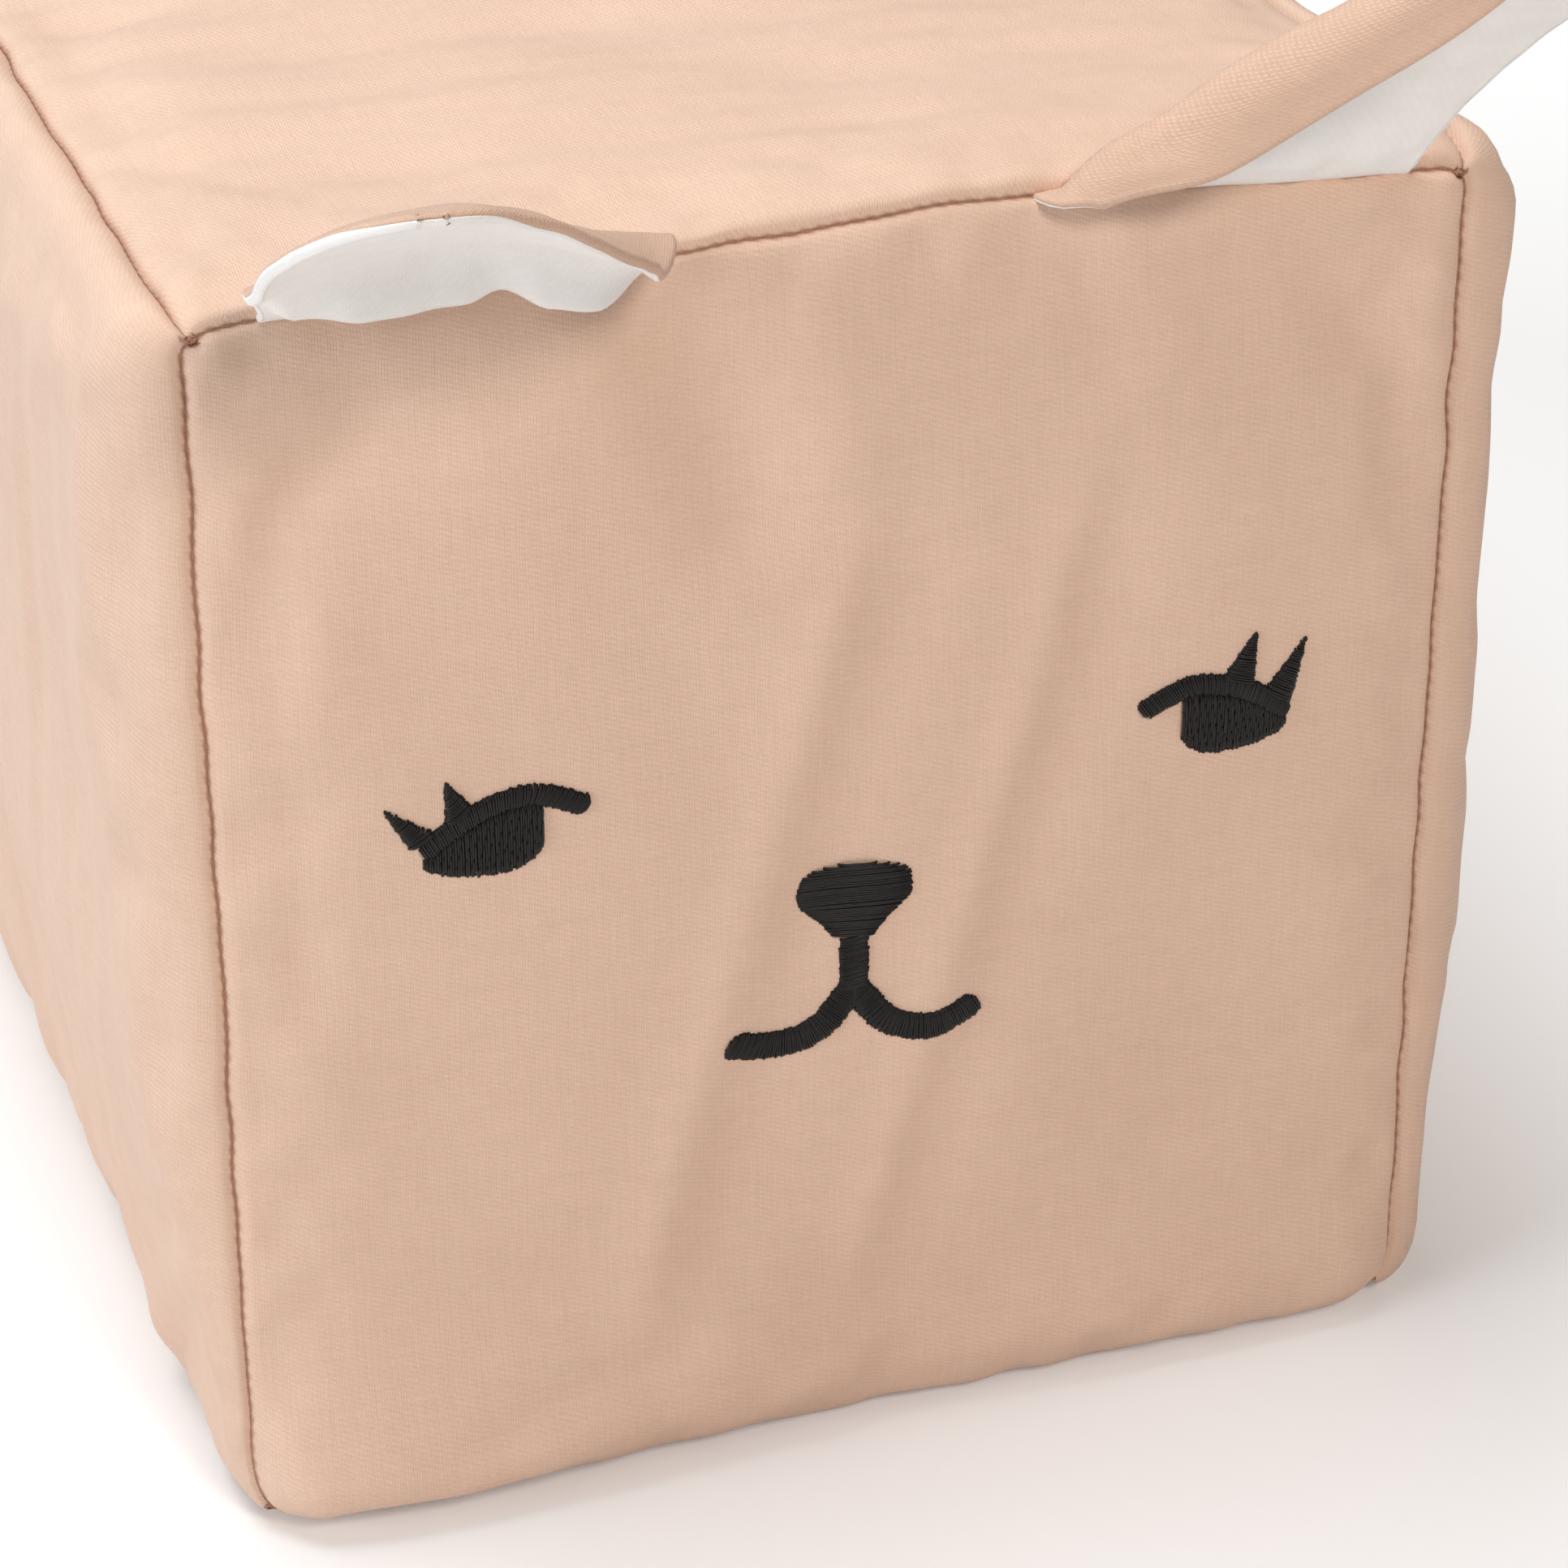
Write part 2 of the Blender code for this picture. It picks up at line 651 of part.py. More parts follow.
def ear_point(ear, along, across):
    """A place in the middle of an ear's cloth: along from root to tip, across from inner to outer edge."""
    power, roundness = EAR_OUTLINE_SHARES
    half = EAR_WIDTH / 2 * (1 - along ** power) ** roundness
    step = half * across / EAR_STEPS
    sideways = 0.0
    deep = 0.0
    for number in range(EAR_STEPS):
        turn = ear_turn(ear, along, step * (number + 0.5))
        sideways += step * math.cos(turn)
        deep += abs(step) * math.sin(turn)
    lining = ear_frame(ear_lean(ear, along))[1]
    return ear_spine(ear, along) + Vector((ear["side"] * sideways, 0.0, 0.0)) + lining * deep


def lining_normals(grid, ear):
    """The direction towards the lining side at every place of an ear's grid."""
    lining = ear_frame(ear["root"])[1]
    normals = []
    for row in range(len(grid)):
        line = []
        for column in range(len(grid[0])):
            before = grid[max(row - 1, 0)][column]
            after = grid[min(row + 1, len(grid) - 1)][column]
            left = grid[row][max(column - 1, 0)]
            right = grid[row][min(column + 1, len(grid[0]) - 1)]
            normal = (after - before).cross(right - left).normalized()
            line.append(normal)
        turn = 1.0 if line[len(line) // 2].dot(lining) > 0 else -1.0
        normals.append([normal * turn for normal in line] if row else [lining] * len(line))
    return normals


def drawn_in(grid, rim):
    """The grid with its two side edges and its tip edge pulled in towards their neighbours."""
    if not rim:
        return grid
    for line in grid:
        for edge, near in ((0, 1), (-1, -2)):
            gap = line[near] - line[edge]
            line[edge] = line[edge] + gap * min(rim / gap.length, EAR_RIM_MOST_SHARE)
    for column, place in enumerate(grid[-1]):
        gap = grid[-2][column] - place
        grid[-1][column] = place + gap * min(rim / gap.length, EAR_RIM_MOST_SHARE)
    return grid


def ear_sheet(name, ear, from_root, rim, depth, thick, finish):
    """One layer of an ear, thick from depth towards the lining side, its rim drawn in."""
    alongs = list(EAR_ROW_SHARES)
    alongs[0] = (EAR_ROOT_RADIUS + GAP) / (ear["length"] * math.cos(ear["splays"][0]))
    if from_root:
        alongs = [0.0] + alongs
    acrosses = [2 * column / EAR_COLUMNS - 1 for column in range(EAR_COLUMNS + 1)]
    middle = [[ear_point(ear, along, across) for across in acrosses] for along in alongs]
    normals = lining_normals(middle[1:] if from_root else middle, ear)
    if from_root:
        normals = normals[:1] + normals
    points = []
    for level in (depth, depth + thick):
        grid = [
            [place + normal * level for place, normal in zip(line, directions)]
            for line, directions in zip(middle, normals)
        ]
        for line in drawn_in(grid, rim):
            points += line
    return add_object(name, points, sheet_faces(len(alongs), len(acrosses)), finish)


def root_bead(name, side, finish):
    """The rolled seam edge that an ear turns on."""
    root = ear_hinge(side)
    points = []
    for end in (-1, 1):
        for step in range(EAR_BEAD_SIDES):
            angle = 2 * math.pi * step / EAR_BEAD_SIDES
            out = Vector((0.0, math.cos(angle), math.sin(angle))) * EAR_ROOT_RADIUS
            points.append(root + Vector((end * EAR_WIDTH / 2, 0.0, 0.0)) + out)
    return add_object(name, points, tube_faces(EAR_BEAD_SIDES), finish)


def make_ear(place):
    ear = EARS[place]
    total = 2 * EAR_CLOTH + EAR_WADDING + 2 * EAR_LAYER_GAP
    back = -total / 2
    outer = ear_sheet(place + "_ear_outer", ear, True, 0.0, back, EAR_CLOTH, EAR_COTTON)
    boolean(outer, root_bead(place + "_ear_root_helper", ear["side"], EAR_COTTON), "UNION")
    middle = back + EAR_CLOTH + EAR_LAYER_GAP
    ear_sheet(place + "_ear_wadding", ear, False, 2 * EAR_RIM, middle, EAR_WADDING, WADDING)
    front = middle + EAR_WADDING + EAR_LAYER_GAP
    ear_sheet(place + "_ear_lining", ear, False, EAR_RIM, front, EAR_CLOTH, WHITE_COTTON)


# Zip

def strip(name, centre_x, length, out, low, high, thick, finish):
    """A straight strip along X, with its inner face at out and its edges at two heights."""
    half = length / 2
    return box(
        name,
        (centre_x - half, out, ZIP_HEIGHT + min(low, high)),
        (centre_x + half, out + thick, ZIP_HEIGHT + max(low, high)),
        finish,
    )


def zip_tapes():
    tape_back, teeth_back, _, _ = slider_levels()
    for side, name in ((1, "upper"), (-1, "lower")):
        near = side * TEETH_PART
        tape_edge = near + side * TAPE_WIDTH
        teeth_edge = near + side * TEETH_WIDTH
        strip(f"zip_{name}_tape", 0.0, TAPE_LENGTH, tape_back, near, tape_edge, TAPE, ZIP_TAPE)
        strip(f"zip_{name}_teeth", 0.0, TEETH_LENGTH, teeth_back, near, teeth_edge, TEETH_RISE, ZIP_TEETH)
    for side, name in ((-1, "zip_open_stop"), (1, "zip_closed_stop")):
        place = side * (TEETH_LENGTH / 2 + GAP + STOP_LENGTH / 2)
        half = STOP_WIDTH / 2
        strip(name, place, STOP_LENGTH, teeth_back, -half, half, STOP_RISE, ZIP_METAL)


def prism(name, ends, finish):
    """A solid between two outlines with the same number of points."""
    return add_object(name, ends[0] + ends[1], tube_faces(len(ends[0])), finish, smooth=False)


def slider_levels():
    """Distances from the ground plane of the back: the slider's plates, and the pull's axis."""
    tape_back = BACK_FACE - CLOTH - GAP - TAPE
    flange = tape_back + TAPE + GAP
    plate = flange + TEETH_RISE + SLIDER_PLAY
    top = plate + SLIDER_PLATE
    return tape_back, flange, plate, top


def zip_slider():
    """Two plates joined by a neck that runs between the rows of teeth, with a bridge for the pull."""
    tape_back, flange, plate, top = slider_levels()
    half = SLIDER_WIDTH / 2
    inner = TEETH_PART + TEETH_WIDTH + SLIDER_PLAY
    neck = SLIDER_NECK / 2
    lower_top = tape_back - SLIDER_PLAY
    lower = lower_top - SLIDER_PLATE
    right_half = [
        (top, half),
        (flange, half),
        (flange, inner),
        (plate, inner),
        (plate, neck),
        (lower_top, neck),
        (lower_top, half),
        (lower, half),
    ]
    profile = right_half + [(y, -z) for y, z in reversed(right_half)]
    ends = []
    for end in (-1, 1):
        x = SLIDER_PLACE + end * SLIDER_LENGTH / 2
        ends.append([(x, y, ZIP_HEIGHT + z) for y, z in profile])
    slider = prism("zip_slider", ends, ZIP_METAL)
    reach = BRIDGE_CLEAR / 2 + BRIDGE_POST
    foot = top - SLIDER_PLATE / 2
    arch = top + BRIDGE_HEIGHT
    outline = [
        (-reach, foot),
        (-reach, arch + BRIDGE_POST),
        (reach, arch + BRIDGE_POST),
        (reach, foot),
        (BRIDGE_CLEAR / 2, foot),
        (BRIDGE_CLEAR / 2, arch),
        (-BRIDGE_CLEAR / 2, arch),
        (-BRIDGE_CLEAR / 2, foot),
    ]
    ends = []
    for end in (-1, 1):
        z = ZIP_HEIGHT + end * BRIDGE_WIDTH / 2
        ends.append([(SLIDER_PLACE + x, y, z) for x, y in outline])
    bridge = prism("zip_bridge_helper", ends, ZIP_METAL)
    boolean(slider, bridge, "UNION")


def zip_pull():
    """A flat tab whose end bar passes under the slider's bridge."""
    top = slider_levels()[3]
    axis = Vector((SLIDER_PLACE, top + BRIDGE_HEIGHT / 2, ZIP_HEIGHT))
    half = PULL_THICK / 2
    low = (axis.x - PULL_LENGTH, axis.y - half, axis.z - PULL_WIDTH / 2)
    high = (axis.x + half, axis.y + half, axis.z + PULL_WIDTH / 2)
    pull = box("zip_pull", low, high, ZIP_METAL)
    eye_low = (axis.x - half - PULL_EYE_LENGTH, axis.y - PULL_THICK, axis.z - PULL_EYE_WIDTH / 2)
    eye_high = (axis.x - half, axis.y + PULL_THICK, axis.z + PULL_EYE_WIDTH / 2)
    boolean(pull, box("zip_pull_eye_cutter", eye_low, eye_high, ZIP_METAL), "DIFFERENCE")


def main():
    clear_scene()
    cover()
    for side in (-1, 1):
        eye(side)
    nose()
    mouth()
    for place in EARS:
        make_ear(place)
    zip_tapes()
    zip_slider()
    zip_pull()


main()
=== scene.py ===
"""Looks of a soft fabric block with an animal face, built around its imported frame.

A foam block in a sewn cotton cover, with an embroidered face, two floppy ears and a zip low
on its back. Everything is in metres: the block stands on z = 0 with its face towards -Y.
"""

import math

import bmesh
import bpy
import numpy as np
from bpy.props import FloatProperty, FloatVectorProperty, IntProperty, PointerProperty
from mathutils import Matrix, Vector
from mathutils.bvhtree import BVHTree


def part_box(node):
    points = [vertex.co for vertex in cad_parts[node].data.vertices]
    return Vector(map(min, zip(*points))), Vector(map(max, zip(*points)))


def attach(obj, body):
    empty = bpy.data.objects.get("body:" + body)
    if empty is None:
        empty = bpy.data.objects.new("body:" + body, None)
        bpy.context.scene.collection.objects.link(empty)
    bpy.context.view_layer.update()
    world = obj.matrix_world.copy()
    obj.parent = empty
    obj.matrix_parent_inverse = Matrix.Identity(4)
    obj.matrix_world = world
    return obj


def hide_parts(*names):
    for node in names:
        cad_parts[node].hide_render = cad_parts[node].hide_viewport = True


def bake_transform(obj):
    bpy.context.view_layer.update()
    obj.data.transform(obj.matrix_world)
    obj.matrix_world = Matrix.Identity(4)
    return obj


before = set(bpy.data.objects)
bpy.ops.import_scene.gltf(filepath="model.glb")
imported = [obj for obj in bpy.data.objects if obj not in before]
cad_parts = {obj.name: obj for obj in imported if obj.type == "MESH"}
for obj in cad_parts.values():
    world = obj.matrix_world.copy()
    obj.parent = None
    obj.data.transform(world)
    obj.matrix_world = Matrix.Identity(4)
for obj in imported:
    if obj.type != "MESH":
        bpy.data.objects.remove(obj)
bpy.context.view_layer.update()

bl_info = {
    "name": "Soft Fabric Block",
    "version": (1, 0, 0),
    "blender": (4, 5, 0),
    "location": "3D View > Sidebar > Fabric Block",
    "description": "Sews the cover, the face, the ears and the zip of a soft fabric block",
    "category": "Object",
}

# The block, measured from seam to seam, as the frame has it
HALF_WIDTH = 0.090
HALF_DEPTH = 0.1425
HEIGHT = 0.187
BASE_CORNER = 0.010
TOP_CORNER = 0.004
EDGE_RUN = 0.010
SIDE_RISE = 0.0100
SIDE_BASE_RISE = 0.0080
SIDE_CROWN = 0.0020
RIGHT_SIDE_SWELL = 0.0026
RIGHT_SIDE_SWELL_FADES = (0.060, 0.012)
LEFT_SIDE_DRAW = 0.0058
LEFT_SIDE_DRAW_FADE = 0.075
TOP_RISE = 0.0040
TOP_CROWN = 0.0035
TOP_SEAM_RISE = 0.0035
BASE_SEAM_RISE = 0.0020
BASE_LIFT = 0.0012
BASE_LIFT_FADE = 0.020
FRONT_RISE = 0.0020
FRONT_BASE_RISE = 0.0050
FRONT_BASE_FADE = 0.030
FRONT_CROWN = 0.0040
FRONT_EDGE_POWER = 2.6
FRONT_SAG = 0.0045
FRONT_SAG_PLACE = (-0.058, 0.030)
FRONT_SAG_FADE = 0.040
BACK_RISE = 0.0040
BACK_CROWN = 0.0030
BACK_FLAT_OVER_ZIP = 0.0213
CLOTH = 0.0008
FOAM_INSET = 0.0056
FOAM_EDGE_INSET = 0.0030
FOAM_EDGE_FADE = 0.005

# Rows of the cover: shares of the edge run close to a seam, then even steps
SEAM_ROW_SHARES = (
    0.0, 0.001, 0.004, 0.009, 0.018, 0.035, 0.06, 0.10, 0.16, 0.24, 0.34, 0.46, 0.61, 0.79, 1.0,
)
EVEN_STEP = 0.0022
COARSE_STEP = 0.0050

# Seams: the cloth turns inwards there, and its edges stay hidden
GROOVE = 0.0007
GROOVE_REACH = 0.0009
SEAM_HALF_GAP = 0.00012
ALLOWANCES = (0.0010, 0.0022)
ALLOWANCE_LEAST = 0.10
ALLOWANCE_FADE = 0.006
SEAM_WANDER = 0.00024
SEAM_WANDER_LENGTH = 0.013
# Shares of the way in that a seam's edges turn, for seams along X, Y and Z
SEAM_IN_SHARES = {"x": (0.0, 0.55, 0.84), "y": (0.35, 0.0, 0.94), "z": (0.25, 0.97, 0.0)}
# The top front seam bows up: how far, where and how wide, then evenly between its ends
SEAM_BOW = 0.0030
SEAM_BOW_PLACE = (0.018, 0.042)
SEAM_BOW_EVEN = 0.0007
SEAM_BOW_ENDS = 0.012
SEAM_BOW_FADE = 0.028

# How far the settled cloth may move
FRONT_MOVE_OUT = 0.0007
MOVE_OUT = 0.0016
MOVE_IN = 0.0008
MOVE_SIDEWAYS = 0.0006
MOVE_FADE = 0.003

# Zip
ZIP_HEIGHT = 0.030
ZIP_WINDOW = (0.077, 0.00605)
ZIP_WIDE_ROWS = (0.0, 0.0015, 0.0030, 0.0045, 0.00605, 0.0072, 0.0088, 0.0108, 0.0132, 0.0160)
ZIP_CLOTH_HELD = 0.02
TOPSTITCH_OFF = 0.0022
TOPSTITCH_PROUD = 0.00012
STITCH_CORNER = 0.0016


def measure(name, description, default):
    return FloatProperty(name=name, description=description, default=default, unit="LENGTH")


def amount(name, description, default, subtype="NONE"):
    return FloatProperty(name=name, description=description, default=default, subtype=subtype)


def tally(name, description, default):
    return IntProperty(name=name, description=description, default=default)


def dye(name, description, default):
    return FloatVectorProperty(
        name=name, description=description, default=default, subtype="COLOR", size=3, min=0, max=1
    )


class ClothSettings(bpy.types.PropertyGroup):
    colour: dye("Cotton", "Colour of the cover's cloth", (0.80, 0.562, 0.430))
    # The ears' outer cloth is the cover's peach made darker, which paints shade onto the ears
    shaded_ear_colour: dye("Ear cotton", "Colour of the ears' outer cloth", (0.700, 0.470, 0.348))
    lining: dye("Lining", "Colour of the ears' white lining", (0.96, 0.935, 0.91))
    rib: measure("Twill rib", "Distance between the twill's ribs", 0.00073)
    thread: measure("Yarn", "Distance between the cloth's yarns", 0.00039)
    slack: amount("Slack", "How much longer the cloth is cut than the foam", 0.012, "FACTOR")
    pressure: amount("Pressure", "How hard the foam presses on its cover", 4.0)
    frames: tally("Settling", "Steps that the cloth takes to settle", 20)


class SeamSettings(bpy.types.PropertyGroup):
    pitch: measure("Stitch", "Distance from stitch to stitch", 0.0025)
    length: measure("Stitch length", "Length of thread that shows", 0.0017)
    thick: measure("Thread", "Thickness of the sewing thread", 0.00028)


class EmbroiderySettings(bpy.types.PropertyGroup):
    pitch: measure("Strand", "Distance between the embroidery's strands", 0.00036)
    thick: measure("Thread", "Thickness of the embroidery thread", 0.00044)
    rise: measure("Rise", "How far the satin stitch arches over the cloth", 0.00055)
    colour: dye("Thread colour", "Colour of the embroidery thread", (0.0080, 0.0066, 0.0058))


class EarSettings(bpy.types.PropertyGroup):
    columns: tally("Columns", "Points across an ear", 56)
    rows: tally("Rows", "Points along an ear", 72)


class ZipSettings(bpy.types.PropertyGroup):
    pitch: measure("Tooth", "Distance from tooth to tooth", 0.0012)
    bevel: measure("Edge", "Rounding of the zip's metal edges", 0.00022)


# Curves, and runs along them

def arc(run):
    rest = 1 - np.clip(run, 0.0, 1.0)
    return np.sqrt(np.maximum(1 - rest * rest, 0.0))


def soft_arc(run):
    """Rises like arc, but not so steeply from the seam."""
    return 1 - (1 - np.clip(run, 0.0, 1.0)) ** FRONT_EDGE_POWER


def smooth(run):
    run = np.clip(run, 0.0, 1.0)
    return run * run * (3 - 2 * run)


def hump(run):
    """1 at 0, and near 0 from 2 on, on both sides."""
    return np.exp(-(run ** 2))


def part_way(start, end, share):
    return start + (end - start) * share


def unit(ways):
    return ways / np.maximum(np.linalg.norm(ways, axis=-1), 1e-12)[..., None]


def run_along(places, axis=0):
    """Distances along the lines of a grid of places, each from the line's start."""
    steps = np.linalg.norm(np.diff(places, axis=axis), axis=-1)
    start = np.zeros_like(np.take(steps, [0], axis))
    return np.concatenate([start, np.cumsum(steps, axis=axis)], axis=axis)


# Shape of the block


def rounded(x, z):
    """A place on the flat end rectangle with its corners made round, and the way out of them."""
    low = z < HEIGHT / 2
    radius = np.where(low, BASE_CORNER, TOP_CORNER)
    over_x = np.maximum(np.abs(x) - (HALF_WIDTH - radius), 0.0)
    over_z = np.maximum(np.where(low, radius - z, z - (HEIGHT - radius)), 0.0)
    up = np.where(low, -1.0, 1.0)
    side = np.where(x < 0, -1.0, 1.0)
    both = (over_x > 0) & (over_z > 0)
    long_side = np.where(both, np.hypot(over_x, over_z), 1.0)
    squeeze = np.maximum(over_x, over_z) / long_side
    place_x = np.where(both, side * (HALF_WIDTH - radius + over_x * squeeze), x)
    centre_z = np.where(low, radius, HEIGHT - radius)
    place_z = np.where(both, centre_z + up * over_z * squeeze, z)
    beside = HALF_WIDTH - np.abs(x) <= np.minimum(z, HEIGHT - z)
    out_x = np.where(both, side * over_x / long_side, np.where(beside, side, 0.0))
    out_z = np.where(both, up * over_z / long_side, np.where(beside, 0.0, up))
    return place_x, place_z, out_x, out_z


def base_lift(from_end, z):
    return BASE_LIFT * (1 - arc(from_end / EDGE_RUN)) * np.maximum(1 - z / BASE_LIFT_FADE, 0.0)


def off_end_edges(x, z):
    return np.minimum(HALF_WIDTH - np.abs(x), np.minimum(z, HEIGHT - z))


def end_shape(x, z, side, out):
    """The front, on side -1, or the back, on side 1: out is how far it stands off its flat place."""
    place_x, place_z, _, _ = rounded(x, z)
    return np.stack([place_x, side * (HALF_DEPTH + out), place_z + base_lift(0.0, z)], -1)


def front_shape(x, z):
    rise = FRONT_RISE + (FRONT_BASE_RISE - FRONT_RISE) * smooth(1 - z / FRONT_BASE_FADE)
    crown = (1 - (x / HALF_WIDTH) ** 2) * (1 - (2 * z / HEIGHT - 1) ** 2)
    middle, wide = FRONT_SAG_PLACE
    sag = hump((x - middle) / wide) * (1 - smooth(z / FRONT_SAG_FADE))
    out = (rise + FRONT_SAG * sag) * soft_arc(off_end_edges(x, z) / EDGE_RUN) + FRONT_CROWN * crown
    return end_shape(x, z, -1, out)


def back_shape(x, z):
    flat_top = ZIP_HEIGHT + BACK_FLAT_OVER_ZIP
    upper = np.maximum(z - flat_top, 0.0) / (HEIGHT - flat_top)
    swell = np.sin(math.pi * upper) ** 2 * (1 - (x / HALF_WIDTH) ** 2)
    return end_shape(x, z, 1, BACK_RISE * arc(off_end_edges(x, z) / EDGE_RUN) + BACK_CROWN * swell)


def long_shape(x, y, z, on_side):
    """The two sides, where on_side is true, or the top and the base."""
    place_x, place_z, out_x, out_z = rounded(x, z)
    from_end = HALF_DEPTH - np.abs(y)
    top = z > HEIGHT / 2
    seam_rise = np.where(top, TOP_SEAM_RISE, BASE_SEAM_RISE)
    if on_side:
        run = arc(np.minimum(z, HEIGHT - z) / EDGE_RUN)
        panel_rise = SIDE_BASE_RISE + (SIDE_RISE - SIDE_BASE_RISE) * z / HEIGHT
        base_fade, top_fade = RIGHT_SIDE_SWELL_FADES
        swollen = smooth(z / base_fade) * smooth((HEIGHT - z) / top_fade)
        drawn = 1 - smooth(z / LEFT_SIDE_DRAW_FADE)
        panel_rise = panel_rise + np.where(x > 0, RIGHT_SIDE_SWELL * swollen, -LEFT_SIDE_DRAW * drawn)
        swell = SIDE_CROWN * (1 - (2 * z / HEIGHT - 1) ** 2)
    else:
        run = arc((HALF_WIDTH - np.abs(x)) / EDGE_RUN)
        panel_rise = np.where(top, TOP_RISE, 0.0)
        swell = np.where(top, TOP_CROWN, 0.0) * (1 - (x / HALF_WIDTH) ** 2)
    rise = part_way(seam_rise, panel_rise, run)
    out = rise * arc(from_end / EDGE_RUN) + swell * (1 - (y / HALF_DEPTH) ** 2)
    up = place_z + out_z * out + base_lift(from_end, z)
    return np.stack([place_x + out_x * out, y + 0 * x, np.maximum(up, 0.0)], -1)


# Noise that is smooth and the same each run

def waves(places, length, seed, count=9):
    """A soft random value from about -1 to 1 at each place, in any number of dimensions."""
    draw = np.random.default_rng(seed)
    ways = draw.normal(size=(count, places.shape[-1]))
    ways /= np.linalg.norm(ways, axis=1)[:, None]
    lengths = length * draw.uniform(0.7, 1.5, count)
    phases = draw.uniform(0, 2 * math.pi, count)
    total = 0.0
    for way, long, phase in zip(ways, lengths, phases):
        total = total + np.sin(places @ way * (2 * math.pi / long) + phase)
    return total / math.sqrt(count)


# Panels of the cover. Each place is kept as u and v on the flat box, before the cloth swells

PANELS = {
    "front_panel": {"u": "x", "v": "z", "turn": 1, "out": (0, -1, 0)},
    "back_upper_panel": {"u": "x", "v": "z", "turn": -1, "out": (0, 1, 0)},
    "back_lower_panel": {"u": "x", "v": "z", "turn": -1, "out": (0, 1, 0)},
    "left_side_panel": {"u": "y", "v": "z", "turn": -1, "out": (-1, 0, 0)},
    "right_side_panel": {"u": "y", "v": "z", "turn": 1, "out": (1, 0, 0)},
    "top_panel": {"u": "x", "v": "y", "turn": 1, "out": (0, 0, 1)},
    "base_panel": {"u": "x", "v": "y", "turn": -1, "out": (0, 0, -1)},
}
LIMITS = {"x": (-HALF_WIDTH, HALF_WIDTH), "y": (-HALF_DEPTH, HALF_DEPTH), "z": (0.0, HEIGHT)}


def flat_place(name, u, v):
    """The place on the flat box of each u and v of a panel."""
    panel = PANELS[name]
    values = {panel["u"]: u, panel["v"]: v}
    for axis, way in zip("xyz", panel["out"]):
        if way:
            low, high = LIMITS[axis]
            values[axis] = np.full(u.shape, high if way > 0 else low)
    return np.stack([values[axis] for axis in "xyz"], -1)


def shape(name, flat):
    x, y, z = np.moveaxis(flat, -1, 0)
    if name == "front_panel":
        return front_shape(x, z)
    if name.startswith("back"):
        return back_shape(x, z)
    return long_shape(x, y, z, "side" in name)


def off_seams(flat):
    """Distance from each place of the flat box to its nearest seam."""
    x, y, z = np.moveaxis(flat, -1, 0)
    off_x, off_y, off_z = HALF_WIDTH - np.abs(x), HALF_DEPTH - np.abs(y), np.minimum(z, HEIGHT - z)
    return np.minimum.reduce([np.hypot(off_y, off_z), np.hypot(off_x, off_z), np.hypot(off_x, off_y)])


def seam_ways_in(flat):
    """The way into the block at the seams along X, Y and Z that lie nearest."""
    signs = np.sign(flat - np.array([0.0, 0.0, HEIGHT / 2]))
    return {axis: -signs * np.array(shares) for axis, shares in SEAM_IN_SHARES.items()}


def edge_distances(name, surface):
    """Distances over the cloth from each place of a panel to its edges, along its rows and its columns."""
    nearest = []
    for axis in (1, 0):
        run = run_along(surface, axis)
        back = np.take(run, [-1], axis) - run
        if axis == 0 and name == "back_upper_panel":
            run = back
        if axis == 0 and name == "back_lower_panel":
            back = run
        nearest.append(np.minimum(run, back))
    return nearest


def seam_sink(name, surface, flat):
    """How the cover is drawn in at its seams, and how they wander. Panels that meet agree on it."""
    panel = PANELS[name]
    over_u, over_v = edge_distances(name, surface)
    through = next(axis for axis, way in zip("xyz", panel["out"]) if way)
    far = {panel["v"]: over_u, panel["u"]: over_v, through: np.hypot(over_u, over_v)}
    ways = seam_ways_in(flat)
    near = {axis: hump(far[axis] / GROOVE_REACH) for axis in "xyz"}
    shared = np.maximum(near["x"] + near["y"] + near["z"], 1.0)
    sink = np.zeros(flat.shape)
    for axis in "xyz":
        sink = sink + ways[axis] * (GROOVE * near[axis] / shared)[..., None]
    hold = hump(off_seams(flat) / EDGE_RUN) * SEAM_WANDER
    for axis in range(3):
        sink[..., axis] += hold * waves(flat, SEAM_WANDER_LENGTH, 40 + axis)
    return sink


def seam_bow(x):
    """How far the top front seam bows up between its corners."""
    middle, wide = SEAM_BOW_PLACE
    rise = SEAM_BOW * hump((x - middle) / wide) + SEAM_BOW_EVEN * (1 - (x / HALF_WIDTH) ** 2)
    return rise * smooth((HALF_WIDTH - np.abs(x)) / SEAM_BOW_ENDS)


def bowed(flat):
    """How far each place of the cover rises with the bowed seam."""
    far = np.hypot(flat[..., 1] + HALF_DEPTH, HEIGHT - flat[..., 2])
    rise = np.zeros(flat.shape)
    rise[..., 2] = seam_bow(flat[..., 0]) * (1 - smooth(far / SEAM_BOW_FADE))
    return rise


def off_edges(u, v, name):
    """Distance from a panel's own edges on the flat box."""
    (u_low, u_high), (v_low, v_high) = (LIMITS[PANELS[name][way]] for way in "uv")
    return np.minimum.reduce([u - u_low, u_high - u, v - v_low, v_high - v])


def crease(u, v, points, wide, deep):
    """A soft fold along a line of points, deep in the middle and faded at both ends."""
    points = np.array(points)
    runs = run_along(points)
    best = np.full(u.shape, 1e9)
    place = np.zeros(u.shape)
    for start, end, before, after in zip(points, points[1:], runs, runs[1:]):
        long = after - before
        way = (end - start) / long
        run = np.clip((u - start[0]) * way[0] + (v - start[1]) * way[1], 0, long)
        far = np.hypot(u - start[0] - way[0] * run, v - start[1] - way[1] * run)
        place = np.where(far < best, (before + run) / runs[-1], place)
        best = np.minimum(best, far)
    fade = smooth(place / FOLD_ENDS) * smooth((1 - place) / FOLD_ENDS)
    return deep * fade * hump(best / wide)


